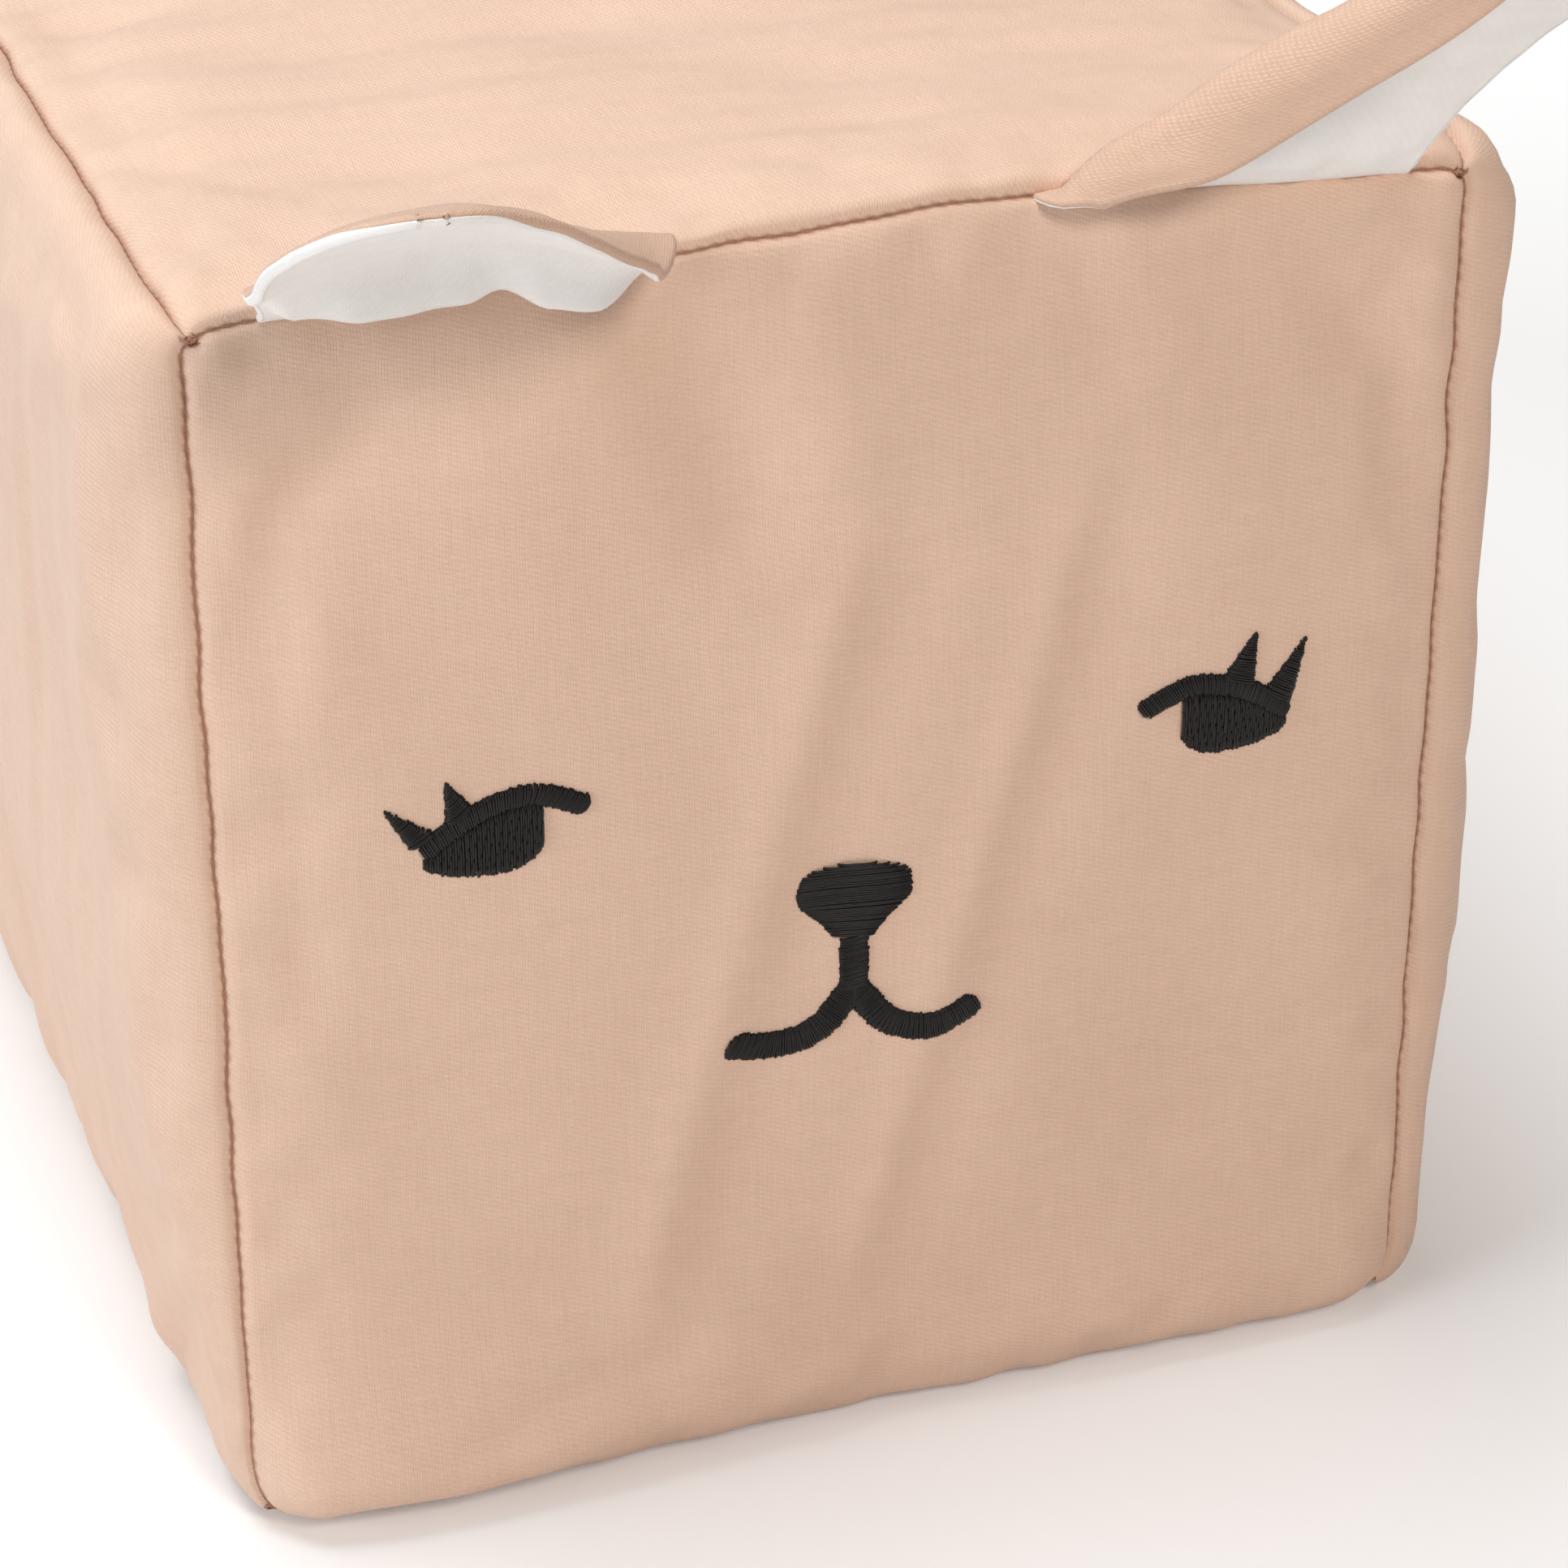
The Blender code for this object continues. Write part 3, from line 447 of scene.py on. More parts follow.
# Folds that show on the face: the points of each, its half width and how far it stands out
FOLD_SHARE = 1.6
FOLD_ENDS = 0.2
FACE_FOLDS = (
    (((0.004, 0.160), (-0.0094, 0.117), (-0.0267, 0.0537), (-0.036, 0.015)), 0.0046, 0.00075),
    (((0.013, 0.160), (-0.0004, 0.117), (-0.0177, 0.0537), (-0.027, 0.015)), 0.0070, -0.00055),
    (
        ((0.0357, 0.1637), (0.0262, 0.1250), (0.0183, 0.0988), (0.006, 0.0542), (-0.0037, 0.014)),
        0.0038, 0.00060,
    ),
    (
        ((0.0427, 0.1637), (0.0332, 0.1250), (0.0253, 0.0988), (0.013, 0.0542), (0.0037, 0.014)),
        0.0060, -0.00045,
    ),
    (((-0.0275, 0.1950), (-0.0224, 0.1740), (-0.0130, 0.1400)), 0.0085, -0.00150),
    (((-0.0080, 0.1900), (-0.0060, 0.1760), (-0.0010, 0.1500)), 0.0075, 0.00090),
    (((-0.0900, 0.1690), (-0.0720, 0.1696), (-0.0520, 0.1700)), 0.0040, -0.00030),
    (((-0.0900, 0.1755), (-0.0720, 0.1760), (-0.0560, 0.1765)), 0.0036, 0.00020),
    (((0.0300, 0.1900), (0.0330, 0.1760), (0.0380, 0.1600)), 0.0055, -0.00085),
    (((0.0880, 0.1840), (0.0780, 0.1700), (0.0640, 0.1600)), 0.0050, -0.00065),
    (((-0.0860, 0.1600), (-0.0800, 0.1200), (-0.0800, 0.0800)), 0.0040, -0.00055),
    (((-0.0700, 0.0060), (-0.0480, 0.0160), (-0.0200, 0.0230)), 0.0040, -0.00055),
    (((0.0860, 0.0300), (0.0640, 0.0400), (0.0400, 0.0440)), 0.0050, -0.00045),
)
# Waves of the cloth: their height, length and seed. Those of one panel also have how far u, v
# and v leaning into u count, so that they run long one way
SOFT_WAVES = ((0.00062, 0.060, 11), (0.00020, 0.022, 12))
PANEL_WAVES = {
    "top_panel": ((0.00034, 0.024, 22, 0.2, 1.0, 0.0),),
    "left_side_panel": ((0.00055, 0.019, 23, 1.0, 0.10, 0.16), (0.00022, 0.0080, 24, 1.0, 0.10, 0.16)),
    "right_side_panel": ((0.00038, 0.019, 26, 1.0, 0.10, 0.16), (0.00022, 0.0080, 27, 1.0, 0.10, 0.16)),
    "back_upper_panel": ((0.00030, 0.034, 28, 1.0, 0.35, 0.3),),
}
TOP_RIPPLES = (0.00022, 0.0095, 21, 0.12, 1.0, 0.0)
# The top's ripples: their share far from the front, what they gain there and how fast that fades
TOP_RIPPLE_SHARES = (0.6, 0.9, 0.045)
WAVE_EDGE = 0.012
PUCKERS = (0.00032, 0.0105, 13)
PUCKER_REACH = 0.006
PUCKER_EDGE = 0.0012
BASE_WAVE_SHARE = 0.5


def ripples(u, v, high, long, seed, u_share, v_share, lean):
    return high * waves(np.stack([u * u_share + v * lean, v * v_share], -1), long, seed)


def soft_folds(name, u, v):
    """How far the settled cloth stands out from its even shape, away from the seams."""
    flat = flat_place(name, u, v)
    off = off_edges(u, v, name)
    inside = smooth(off / WAVE_EDGE)
    out = sum(inside * high * waves(flat, long, seed) for high, long, seed in SOFT_WAVES)
    high, long, seed = PUCKERS
    out += np.exp(-off / PUCKER_REACH) * smooth(off / PUCKER_EDGE) * high * waves(flat, long, seed)
    if name == "front_panel":
        for points, wide, deep in FACE_FOLDS:
            out += FOLD_SHARE * crease(u, v, points, wide, deep) * inside
    if name == "top_panel":
        far_share, gain, fade = TOP_RIPPLE_SHARES
        near_front = far_share + gain * np.exp(-(v + HALF_DEPTH) / fade)
        out += inside * near_front * ripples(u, v, *TOP_RIPPLES)
    for wave in PANEL_WAVES.get(name, ()):
        out += inside * ripples(u, v, *wave)
    if name == "base_panel":
        out = np.minimum(out, 0.0) * BASE_WAVE_SHARE
    return out


def even_rows(low, high, step):
    return np.linspace(low, high, max(2, round((high - low) / step) + 1))


def fine_rows(low, high):
    near = [low + EDGE_RUN * share for share in SEAM_ROW_SHARES]
    far = [high - EDGE_RUN * share for share in reversed(SEAM_ROW_SHARES)]
    middle = even_rows(low + EDGE_RUN, high - EDGE_RUN, EVEN_STEP)[1:-1]
    return np.array(near + list(middle) + far)


def panel_rows(name):
    """The fine rows of a panel: its us and its vs."""
    panel = PANELS[name]
    us = fine_rows(*LIMITS[panel["u"]])
    vs = fine_rows(*LIMITS[panel["v"]])
    if name.startswith("back"):
        for side in (-1, 1):
            us[np.argmin(np.abs(us - side * ZIP_WINDOW[0]))] = side * ZIP_WINDOW[0]
        wide = np.array(ZIP_WIDE_ROWS)
        if "upper" in name:
            vs = np.concatenate([ZIP_HEIGHT + wide, vs[vs > ZIP_HEIGHT + wide[-1] + EVEN_STEP / 2]])
        else:
            vs = np.concatenate([vs[vs < ZIP_HEIGHT - wide[-1] - EVEN_STEP / 3], ZIP_HEIGHT - wide[::-1]])
    return us[:: panel["turn"]], vs


# Meshes of grids

def grid_ids(rows, columns):
    return np.arange(rows * columns).reshape(rows, columns)


def grid_quads(ids):
    return np.stack([ids[:-1, :-1], ids[:-1, 1:], ids[1:, 1:], ids[1:, :-1]], -1).reshape(-1, 4)


def new_object(name, data):
    obj = bpy.data.objects.new(name, data)
    bpy.context.scene.collection.objects.link(obj)
    return obj


def new_mesh(name, points, edges, faces):
    mesh = bpy.data.meshes.new(name)
    mesh.from_pydata(points, edges, faces)
    return mesh


def joined_panels(step):
    """A closed mesh over the block's even shape, and each panel's rows with their places in it."""
    grids, index, points, flats, faces = {}, {}, [], [], []
    for name, panel in PANELS.items():
        if name == "back_lower_panel":
            continue
        us = even_rows(*LIMITS[panel["u"]], step)[:: panel["turn"]]
        vs = even_rows(*LIMITS[panel["v"]], step)
        flat = flat_place(name, *np.meshgrid(us, vs))
        places = shape(name, flat)
        ids = np.zeros(flat.shape[:2], int)
        for spot in np.ndindex(ids.shape):
            key = tuple(np.round(flat[spot], 6))
            if key not in index:
                index[key] = len(points)
                points.append(places[spot])
                flats.append(flat[spot])
            ids[spot] = index[key]
        faces += grid_quads(ids).tolist()
        grids[name] = (us, vs, ids)
    return np.array(points), np.array(flats), faces, grids


# Settling the cover over its foam by cloth simulation

CLOTH_BEHAVIOUR = {
    "quality": 5, "mass": 0.2, "tension_stiffness": 20, "compression_stiffness": 20,
    "shear_stiffness": 8, "bending_stiffness": 0.4, "use_pressure": True,
}


def settle(settings):
    """How the cover moves as it settles: for each panel, its coarse rows and their moves."""
    start, flats, faces, grids = joined_panels(COARSE_STEP)
    on_seam = off_seams(flats) < 1e-5
    by_zip = (flats[:, 1] > HALF_DEPTH - 1e-5) & (flats[:, 2] < ZIP_HEIGHT + ZIP_CLOTH_HELD)
    pinned = np.flatnonzero(on_seam | by_zip).tolist()
    moves = np.zeros(start.shape)
    cover = new_object("settling", new_mesh("settling", start.tolist(), [], faces))
    cover.vertex_groups.new(name="seams").add(pinned, 1.0, "REPLACE")
    cloth = cover.modifiers.new("Cloth", "CLOTH")
    for key, value in CLOTH_BEHAVIOUR.items():
        setattr(cloth.settings, key, value)
    cloth.settings.uniform_pressure_force = settings.pressure
    cloth.settings.shrink_min = -settings.slack
    cloth.settings.vertex_group_mass = "seams"
    cloth.settings.effector_weights.gravity = 0
    cloth.point_cache.frame_start = 1
    cloth.point_cache.frame_end = settings.frames
    for step in range(1, settings.frames + 1):
        bpy.context.scene.frame_set(step)
    settled = cover.evaluated_get(bpy.context.evaluated_depsgraph_get())
    flat = np.zeros(start.size)
    settled.data.vertices.foreach_get("co", flat)
    moves = flat.reshape(-1, 3) - start
    bpy.data.objects.remove(cover)
    bpy.context.scene.frame_set(1)
    return {name: (us, vs, capped(name, moves[ids])) for name, (us, vs, ids) in grids.items()}


def held_back(move, most):
    return most * np.tanh(move / most)


def capped(name, moves):
    """Moves of a settled panel: a little out, less in and hardly sideways."""
    out = np.array(PANELS[name]["out"], float)
    far = moves @ out
    most = FRONT_MOVE_OUT if name == "front_panel" else MOVE_OUT
    sideways = moves - far[..., None] * out
    far = np.where(far > 0, held_back(far, most), held_back(far, MOVE_IN))
    if name == "base_panel":
        far = np.minimum(far, 0.0)
    return far[..., None] * out + held_back(sideways, MOVE_SIDEWAYS)


def resample(values, old, new, axis):
    """Values along one axis of a grid, read at new places by a smooth curve through the old ones."""
    values = np.moveaxis(values, axis, 0)
    if old[0] > old[-1]:
        old, values = old[::-1], values[::-1]
    step = old[1] - old[0]
    spot = np.clip((np.asarray(new) - old[0]) / step, 0, len(old) - 1)
    left = np.minimum(spot.astype(int), len(old) - 2)
    run = (spot - left).reshape((-1,) + (1,) * (values.ndim - 1))
    at = [values[np.clip(left + offset, 0, len(old) - 1)] for offset in (-1, 0, 1, 2)]
    slope_a = (at[2] - at[0]) / 2
    slope_b = (at[3] - at[1]) / 2
    square, cube = run ** 2, run ** 3
    read = (
        (2 * cube - 3 * square + 1) * at[1] + (cube - 2 * square + run) * slope_a
        + (3 * square - 2 * cube) * at[2] + (cube - square) * slope_b
    )
    return np.moveaxis(read, 0, axis)


def panel_surface(name, settled):
    """The finished outer surface of a panel, its us and vs, and the flat place of each point."""
    us, vs = panel_rows(name)
    u, v = np.meshgrid(us, vs)
    flat = flat_place(name, u, v)
    old_us, old_vs, moves = settled["back_upper_panel" if name == "back_lower_panel" else name]
    moves = resample(resample(moves, old_vs, vs, 0), old_us, us, 1)
    hold = smooth(off_edges(u, v, name) / MOVE_FADE)[..., None]
    surface = shape(name, flat) + moves * hold
    surface += np.array(PANELS[name]["out"], float) * soft_folds(name, u, v)[..., None]
    surface += seam_sink(name, surface, flat) + bowed(flat)
    return surface, u, v, flat


def turned_in(edge_surface, edge_flat, near_surface, deep):
    """A row of cloth that turns in at a seam, from the panel's edge and a row near it."""
    axis = "xyz"[int(np.argmax(np.ptp(edge_flat, axis=0)))]
    low, high = LIMITS[axis]
    run = edge_flat[:, "xyz".index(axis)]
    to_corner = np.minimum(run - low, high - run)
    taper = part_way(ALLOWANCE_LEAST, 1, smooth(to_corner / ALLOWANCE_FADE))
    inner = unit(near_surface - edge_surface)
    return edge_surface + inner * SEAM_HALF_GAP + seam_ways_in(edge_flat)[axis] * (deep * taper)[:, None]


def with_allowances(surface, u, v, flat, open_rows):
    """Adds the rows that turn in at the seams. open_rows are the rows at v's ends that don't turn."""
    grids = [surface, u[..., None], v[..., None], flat]
    for axis in (0, 1):
        parts = [[], []]
        for end, (edge, near) in enumerate(((0, 4), (-1, -5))):
            if axis == 0 and open_rows[end]:
                continue
            edges = [np.take(grid, edge, axis) for grid in grids]
            near_surface = np.take(grids[0], near, axis)
            for deep in ALLOWANCES[::-1] if end == 0 else ALLOWANCES:
                parts[end].append([turned_in(edges[0], edges[3], near_surface, deep)] + edges[1:])
        for number in range(4):
            before, after = ([np.expand_dims(part[number], axis) for part in rows] for rows in parts)
            grids[number] = np.concatenate(before + [grids[number]] + after, axis)
    return grids[0], grids[1][..., 0], grids[2][..., 0], grids[3]


def cut_places(surface, u, v, open_rows):
    """Where each point of a panel lies on its flat cloth, and how far that is from the nearest seam."""
    row, column = surface[surface.shape[0] // 2], surface[:, surface.shape[1] // 2]
    turned = len(ALLOWANCES)
    places, offs = [], []
    for line, values, opened in ((row, u[0], (False, False)), (column, v[:, 0], open_rows)):
        run = run_along(line)
        from_low = 1.0 if opened[0] else np.maximum(run - run[turned], 0.0)
        from_high = 1.0 if opened[1] else np.maximum(run[-1 - turned] - run, 0.0)
        offs.append(np.minimum(from_low, from_high))
        run = (run - run[-1] / 2) * (1 if values[-1] > values[0] else -1)
        places.append(run + (values[0] + values[-1]) / 2)
    return *np.meshgrid(*places), np.minimum(*np.meshgrid(*offs))


def sheet_mesh(name, surface, u, v, finish, keep=None, marks=None):
    """A piece made of a grid of places, with u and v as its UV map and marks as attributes of its points."""
    quads = grid_quads(grid_ids(*u.shape))
    if keep is not None:
        quads = quads[keep]
    mesh = new_mesh(name, surface.reshape(-1, 3).tolist(), [], quads.tolist())
    layer = mesh.uv_layers.new(name="cut")
    corners = np.zeros(len(mesh.loops), int)
    mesh.loops.foreach_get("vertex_index", corners)
    flat_uv = np.stack([u.ravel(), v.ravel()], -1)[corners]
    layer.data.foreach_set("uv", flat_uv.astype(np.float32).ravel())
    for mark, values in (marks or {}).items():
        attribute = mesh.attributes.new(mark, "FLOAT", "POINT")
        attribute.data.foreach_set("value", np.asarray(values, np.float32).ravel())
    if keep is not None:
        shell = bmesh.new()
        shell.from_mesh(mesh)
        loose = [point for point in shell.verts if not point.link_faces]
        bmesh.ops.delete(shell, geom=loose, context="VERTS")
        shell.to_mesh(mesh)
        shell.free()
    mesh.shade_smooth()
    mesh.materials.append(finish)
    return new_object(name, mesh)


def thicken(obj, thick):
    """Gives a sheet its thickness, inwards."""
    change = obj.modifiers.new("Cloth thickness", "SOLIDIFY")
    change.thickness = thick
    change.offset = -1
    change.use_quality_normals = True


def place(obj, body, slot, *nodes):
    """Hands a finished piece to its body, and hides the frame's nodes that it stands for."""
    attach(obj, body)
    if nodes:
        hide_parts(*nodes)


# Finishes

def feed(tree, node, inputs):
    """Links or sets a node's inputs."""
    for key, value in inputs.items():
        if isinstance(value, bpy.types.NodeSocket):
            tree.links.new(value, node.inputs[key])
        else:
            node.inputs[key].default_value = value
    return node


def add(tree, kind, inputs=None, **settings):
    """A node with its settings, its inputs either linked or given a value."""
    node = tree.nodes.new(kind)
    for key, value in settings.items():
        setattr(node, key, value)
    return feed(tree, node, inputs or {})


def maths(tree, operation, *values):
    return add(tree, "ShaderNodeMath", dict(enumerate(values)), operation=operation).outputs[0]


def vector_maths(tree, operation, inputs, gives=0):
    return add(tree, "ShaderNodeVectorMath", inputs, operation=operation).outputs[gives]


def noise(tree, place, scale, detail, **more):
    inputs = {"Vector": place, "Scale": scale, "Detail": detail, **more}
    return add(tree, "ShaderNodeTexNoise", inputs).outputs


def mixed(tree, share, first, second, blend="MIX"):
    node = add(tree, "ShaderNodeMix", data_type="RGBA", blend_type=blend)
    return feed(tree, node, {0: share, 6: first, 7: second}).outputs[2]


def toned(tree, share, colour, tint):
    """A colour that takes a tint as far as share says."""
    return mixed(tree, share, colour, mixed(tree, 1.0, colour, tint + (1.0,), "MULTIPLY"))


def ranged(tree, value, low, high):
    return add(tree, "ShaderNodeMapRange", {0: value, 3: low, 4: high}).outputs[0]


def group(name, takes, gives):
    """An empty node group with its inputs and outputs."""
    tree = bpy.data.node_groups.new(name, "ShaderNodeTree")
    for label, default in takes.items():
        kind = "NodeSocketVector" if isinstance(default, tuple) else "NodeSocketFloat"
        tree.interface.new_socket(label, in_out="INPUT", socket_type=kind).default_value = default
    for label in gives:
        tree.interface.new_socket(label, in_out="OUTPUT", socket_type="NodeSocketFloat")
    start = tree.nodes.new("NodeGroupInput")
    end = tree.nodes.new("NodeGroupOutput")
    return tree, start.outputs, end


def wave(tree, place, pitch):
    turns = maths(tree, "DIVIDE", place, pitch)
    return maths(tree, "SINE", maths(tree, "MULTIPLY", turns, 2 * math.pi))


# Heights of the weave: how much its ribs, its floating yarns and its uneven yarns count
RIB_SHARE = 0.13
FLOAT_SHARE = 0.22
SLUB_SHARE = 0.30
FIBRE_SHARE = 0.6


def woven_cloth():
    """Ribs that lean over a grid of uneven yarns: their height and their shade, both about 0 to 1. The shade
    is low where the weave lies low, which paints shade into the weave's hollows, and fine fibre noise varies
    it at random.
    """
    sizes = {"Place": (0, 0, 0), "Rib": 0.0007, "Yarn": 0.0005, "Lean": 0.4, "Wander": 0.0004}
    tree, takes, gives = group("Woven cloth", sizes, ("Height", "Shade"))
    drift = noise(tree, takes["Place"], 170.0, 1.0)["Color"]
    centred = vector_maths(tree, "SUBTRACT", {0: drift, 1: (0.5, 0.5, 0.5)})
    far = vector_maths(tree, "SCALE", {0: centred, "Scale": takes["Wander"]})
    place = vector_maths(tree, "ADD", {0: takes["Place"], 1: far})
    turn = {"Vector": place, "Angle": takes["Lean"]}
    turned = add(tree, "ShaderNodeVectorRotate", turn, rotation_type="Z_AXIS").outputs[0]
    ribs = wave(tree, add(tree, "ShaderNodeSeparateXYZ", {0: turned}).outputs[1], takes["Rib"])
    across, along, _ = add(tree, "ShaderNodeSeparateXYZ", {0: place}).outputs
    yarns = wave(tree, across, takes["Yarn"])
    floats = maths(tree, "MULTIPLY", yarns, maths(tree, "MULTIPLY_ADD", ribs, 0.5, 0.5))
    slubs = []
    for first, second in ((across, along), (along, across)):
        long_way = maths(tree, "MULTIPLY", first, 90.0)
        short_way = maths(tree, "DIVIDE", second, takes["Yarn"])
        spot = add(tree, "ShaderNodeCombineXYZ", {0: long_way, 1: short_way}).outputs[0]
        slubs.append(noise(tree, spot, 0.9, 1.0)[0])
    slub = maths(tree, "SUBTRACT", maths(tree, "ADD", *slubs), 1.0)
    height = 0.5
    for part, share in ((ribs, RIB_SHARE), (floats, FLOAT_SHARE), (slub, SLUB_SHARE)):
        height = maths(tree, "MULTIPLY_ADD", part, share, height)
    fibre = maths(tree, "SUBTRACT", noise(tree, place, 2600.0, 2.0)[0], 0.5)
    # The shade follows the weave's height, so the hollows come out darker: painted shade, with fibre tone
    # that varies at random
    shade = maths(tree, "MULTIPLY_ADD", fibre, FIBRE_SHARE, height)
    feed(tree, gives, {"Height": height, "Shade": add(tree, "ShaderNodeClamp", {0: shade}).outputs[0]})
    return tree


def soft_mottle():
    """Slow changes of tone over a cloth, about 0 to 1."""
    tree, takes, gives = group("Soft mottle", {"Place": (0, 0, 0), "Size": 0.03}, ("Tone",))
    scale = maths(tree, "DIVIDE", 1.0, takes["Size"])
    cloud = noise(tree, takes["Place"], scale, 4.0, Roughness=0.6)[0]
    feed(tree, gives, {"Tone": add(tree, "ShaderNodeMapRange", {0: cloud, 1: 0.3, 2: 0.7}).outputs[0]})
    return tree


def seam_shadow():
    """Mask of painted shade along a seam's groove: 1 in the middle of a seam and 0 beside it. It swells and
    thins from stitch to stitch.
    """
    sizes = {"Off": 1.0, "Reach": 0.0006, "Place": (0, 0, 0), "Stitch": 0.0025}
    tree, takes, gives = group("Seam shadow", sizes, ("Mask",))
    run = vector_maths(tree, "DOT_PRODUCT", {0: takes["Place"], 1: (1.0, 1.0, 1.0)}, "Value")
    swell = maths(tree, "MULTIPLY_ADD", wave(tree, run, takes["Stitch"]), 0.30, 1.0)
    share = maths(tree, "DIVIDE", takes["Off"], maths(tree, "MULTIPLY", takes["Reach"], swell))
    square = maths(tree, "MULTIPLY", share, share)
    feed(tree, gives, {"Mask": maths(tree, "EXPONENT", maths(tree, "MULTIPLY", square, -1.0))})
    return tree


GROUPS = {}


def effect(tree, maker, inputs):
    if maker not in GROUPS:
        GROUPS[maker] = maker()
    return feed(tree, add(tree, "ShaderNodeGroup", node_tree=GROUPS[maker]), inputs).outputs


def object_place(tree):
    return add(tree, "ShaderNodeTexCoord").outputs["Object"]


def new_material(name, **values):
    material = bpy.data.materials.new(name)
    material.use_nodes = True
    tree = material.node_tree
    shader = tree.nodes["Principled BSDF"]
    for key, value in values.items():
        shader.inputs[key.replace("_", " ").title().replace("Ior", "IOR")].default_value = value
    return material, tree, shader


def tinted(colour, share):
    return tuple(min(part * share, 1.0) for part in colour) + (1.0,)


def dress(tree, shader, colour, strength, distance, height):
    """Gives a shader its colour and its bumps."""
    bump = add(tree, "ShaderNodeBump", {"Strength": strength, "Distance": distance, "Height": height})
    feed(tree, shader, {"Base Color": colour, "Normal": bump.outputs[0]})


# Tints: where the cloth is a little worn, where its yarns vary, and in its seams, where the tint is painted
# shade of the seams' grooves
WORN_TINT = (0.965, 0.955, 0.945)
YARN_TINT = (0.97, 0.96, 0.955)
SEAM_SHADE_TINT = (0.50, 0.35, 0.28)


def cotton(name, colour, rib, yarn, lean, deep, contrast=0.16, seams=False):
    """Matt woven cotton whose weave follows the way that the cloth was cut, lean in degrees."""
    material, tree, shader = new_material(name, roughness=0.92, sheen_weight=0.10, sheen_roughness=0.45)
    uv = add(tree, "ShaderNodeUVMap", uv_map="cut").outputs[0]
    sizes = {"Place": uv, "Rib": rib, "Yarn": yarn, "Lean": math.radians(lean), "Wander": 0.0005}
    weave = effect(tree, woven_cloth, sizes)
    solid = object_place(tree)
    # Painted shade: the cloth is darker where its weave lies low, in the hollows between the yarns, and its
    # fibres vary the tone at random
    shaded = mixed(tree, weave["Shade"], tinted(colour, 1 - contrast), tinted(colour, 1 + contrast))
    for size, tint in ((0.030, WORN_TINT), (0.0035, YARN_TINT)):
        tone = effect(tree, soft_mottle, {"Place": solid, "Size": size})["Tone"]
        shaded = toned(tree, tone, shaded, tint)
    if seams:
        off = add(tree, "ShaderNodeAttribute", attribute_name="seam_off").outputs["Fac"]
        mask = effect(tree, seam_shadow, {"Off": off, "Reach": 0.00038, "Place": solid})["Mask"]
        # Painted shade: the colour darkens towards the middle of each seam, where the groove's shadow falls
        shaded = toned(tree, mask, shaded, SEAM_SHADE_TINT)
    dress(tree, shader, shaded, 1.0, deep, weave["Height"])
    return material


def thread(name, colour, roughness, size):
    """Twisted thread: fine hairs of light and dark on a satin yarn."""
    material, tree, shader = new_material(name, roughness=roughness, specular_ior_level=0.3)
    hairs = noise(tree, object_place(tree), 1 / size, 3.0)[0]
    dress(tree, shader, mixed(tree, hairs, tinted(colour, 0.45), tinted(colour, 1.7)), 0.6, 0.00006, hairs)
    return material


def foam_finish(name, colour):
    material, tree, shader = new_material(name, roughness=0.95)
    cells = add(tree, "ShaderNodeTexVoronoi", {"Vector": object_place(tree), "Scale": 900.0}).outputs[0]
    dress(tree, shader, mixed(tree, cells, tinted(colour, 0.78), tinted(colour, 1.08)), 0.8, 0.0004, cells)
    return material


def metal_finish():
    """Plated zip metal with fine scratches and duller handled patches."""
    material, tree, shader = new_material("Zip metal", metallic=1.0)
    solid = object_place(tree)
    stretched = add(tree, "ShaderNodeMapping", {"Vector": solid, "Scale": (300.0, 9000.0, 9000.0)})
    scratches = noise(tree, stretched.outputs[0], 1.0, 2.0)[0]
    tone = effect(tree, soft_mottle, {"Place": solid, "Size": 0.004})["Tone"]
    feed(tree, shader, {"Roughness": ranged(tree, tone, 0.24, 0.42)})
    shaded = mixed(tree, tone, (0.66, 0.64, 0.61, 1), (0.52, 0.50, 0.47, 1))
    dress(tree, shader, shaded, 0.4, 0.00003, scratches)
    return material


def plastic_finish(colour):
    """Satin plastic of the zip's coils."""
    material, tree, shader = new_material("Zip teeth", roughness=0.45)
    tone = effect(tree, soft_mottle, {"Place": object_place(tree), "Size": 0.003})["Tone"]
    shaded = mixed(tree, tone, tinted(colour, 0.88), tinted(colour, 1.08))
    feed(tree, shader, {"Base Color": shaded, "Roughness": ranged(tree, tone, 0.38, 0.55)})
    return material


# Foam and cover

class FABRIC_OT_foam(bpy.types.Operator):
    """Cuts the foam block that the cover is pulled over"""

    bl_idname = "fabric_block.foam"
    bl_label = "Foam block"

    def execute(self, context):
        points, flats, faces, _ = joined_panels(COARSE_STEP)
        mesh = new_mesh("foam_block", points.tolist(), [], faces)
        mesh.update()
        normals = np.array([point.normal for point in mesh.vertices])
        inset = FOAM_INSET + FOAM_EDGE_INSET * hump(off_seams(flats) / FOAM_EDGE_FADE)
        mesh.vertices.foreach_set("co", (points - normals * inset[:, None]).ravel())
        mesh.shade_smooth()
        mesh.materials.append(foam_finish("Foam", (0.80, 0.74, 0.55)))
        foam = new_object("foam_block", mesh)
        place(foam, "block", "foam", "foam_core")
        return {"FINISHED"}


# How far the cloth's ribs lean on each panel, in degrees
CLOTH_LEANS = {
    22: ("front_panel", "right_side_panel"),
    -22: ("left_side_panel", "back_upper_panel", "back_lower_panel"),
    60: ("top_panel", "base_panel"),
}
# The outer surfaces of the sewn panels, which the stitches and the embroidery lie on
SURFACES = {}


def outside_window(u, v):
    """Which faces of a back panel stay round the zip's window."""
    middle_u = (u[:-1, :-1] + u[1:, 1:]) / 2
    middle_v = (v[:-1, :-1] + v[1:, 1:]) / 2
    half_wide, half_high = ZIP_WINDOW
    return ~((np.abs(middle_u) < half_wide) & (np.abs(middle_v - ZIP_HEIGHT) < half_high)).ravel()


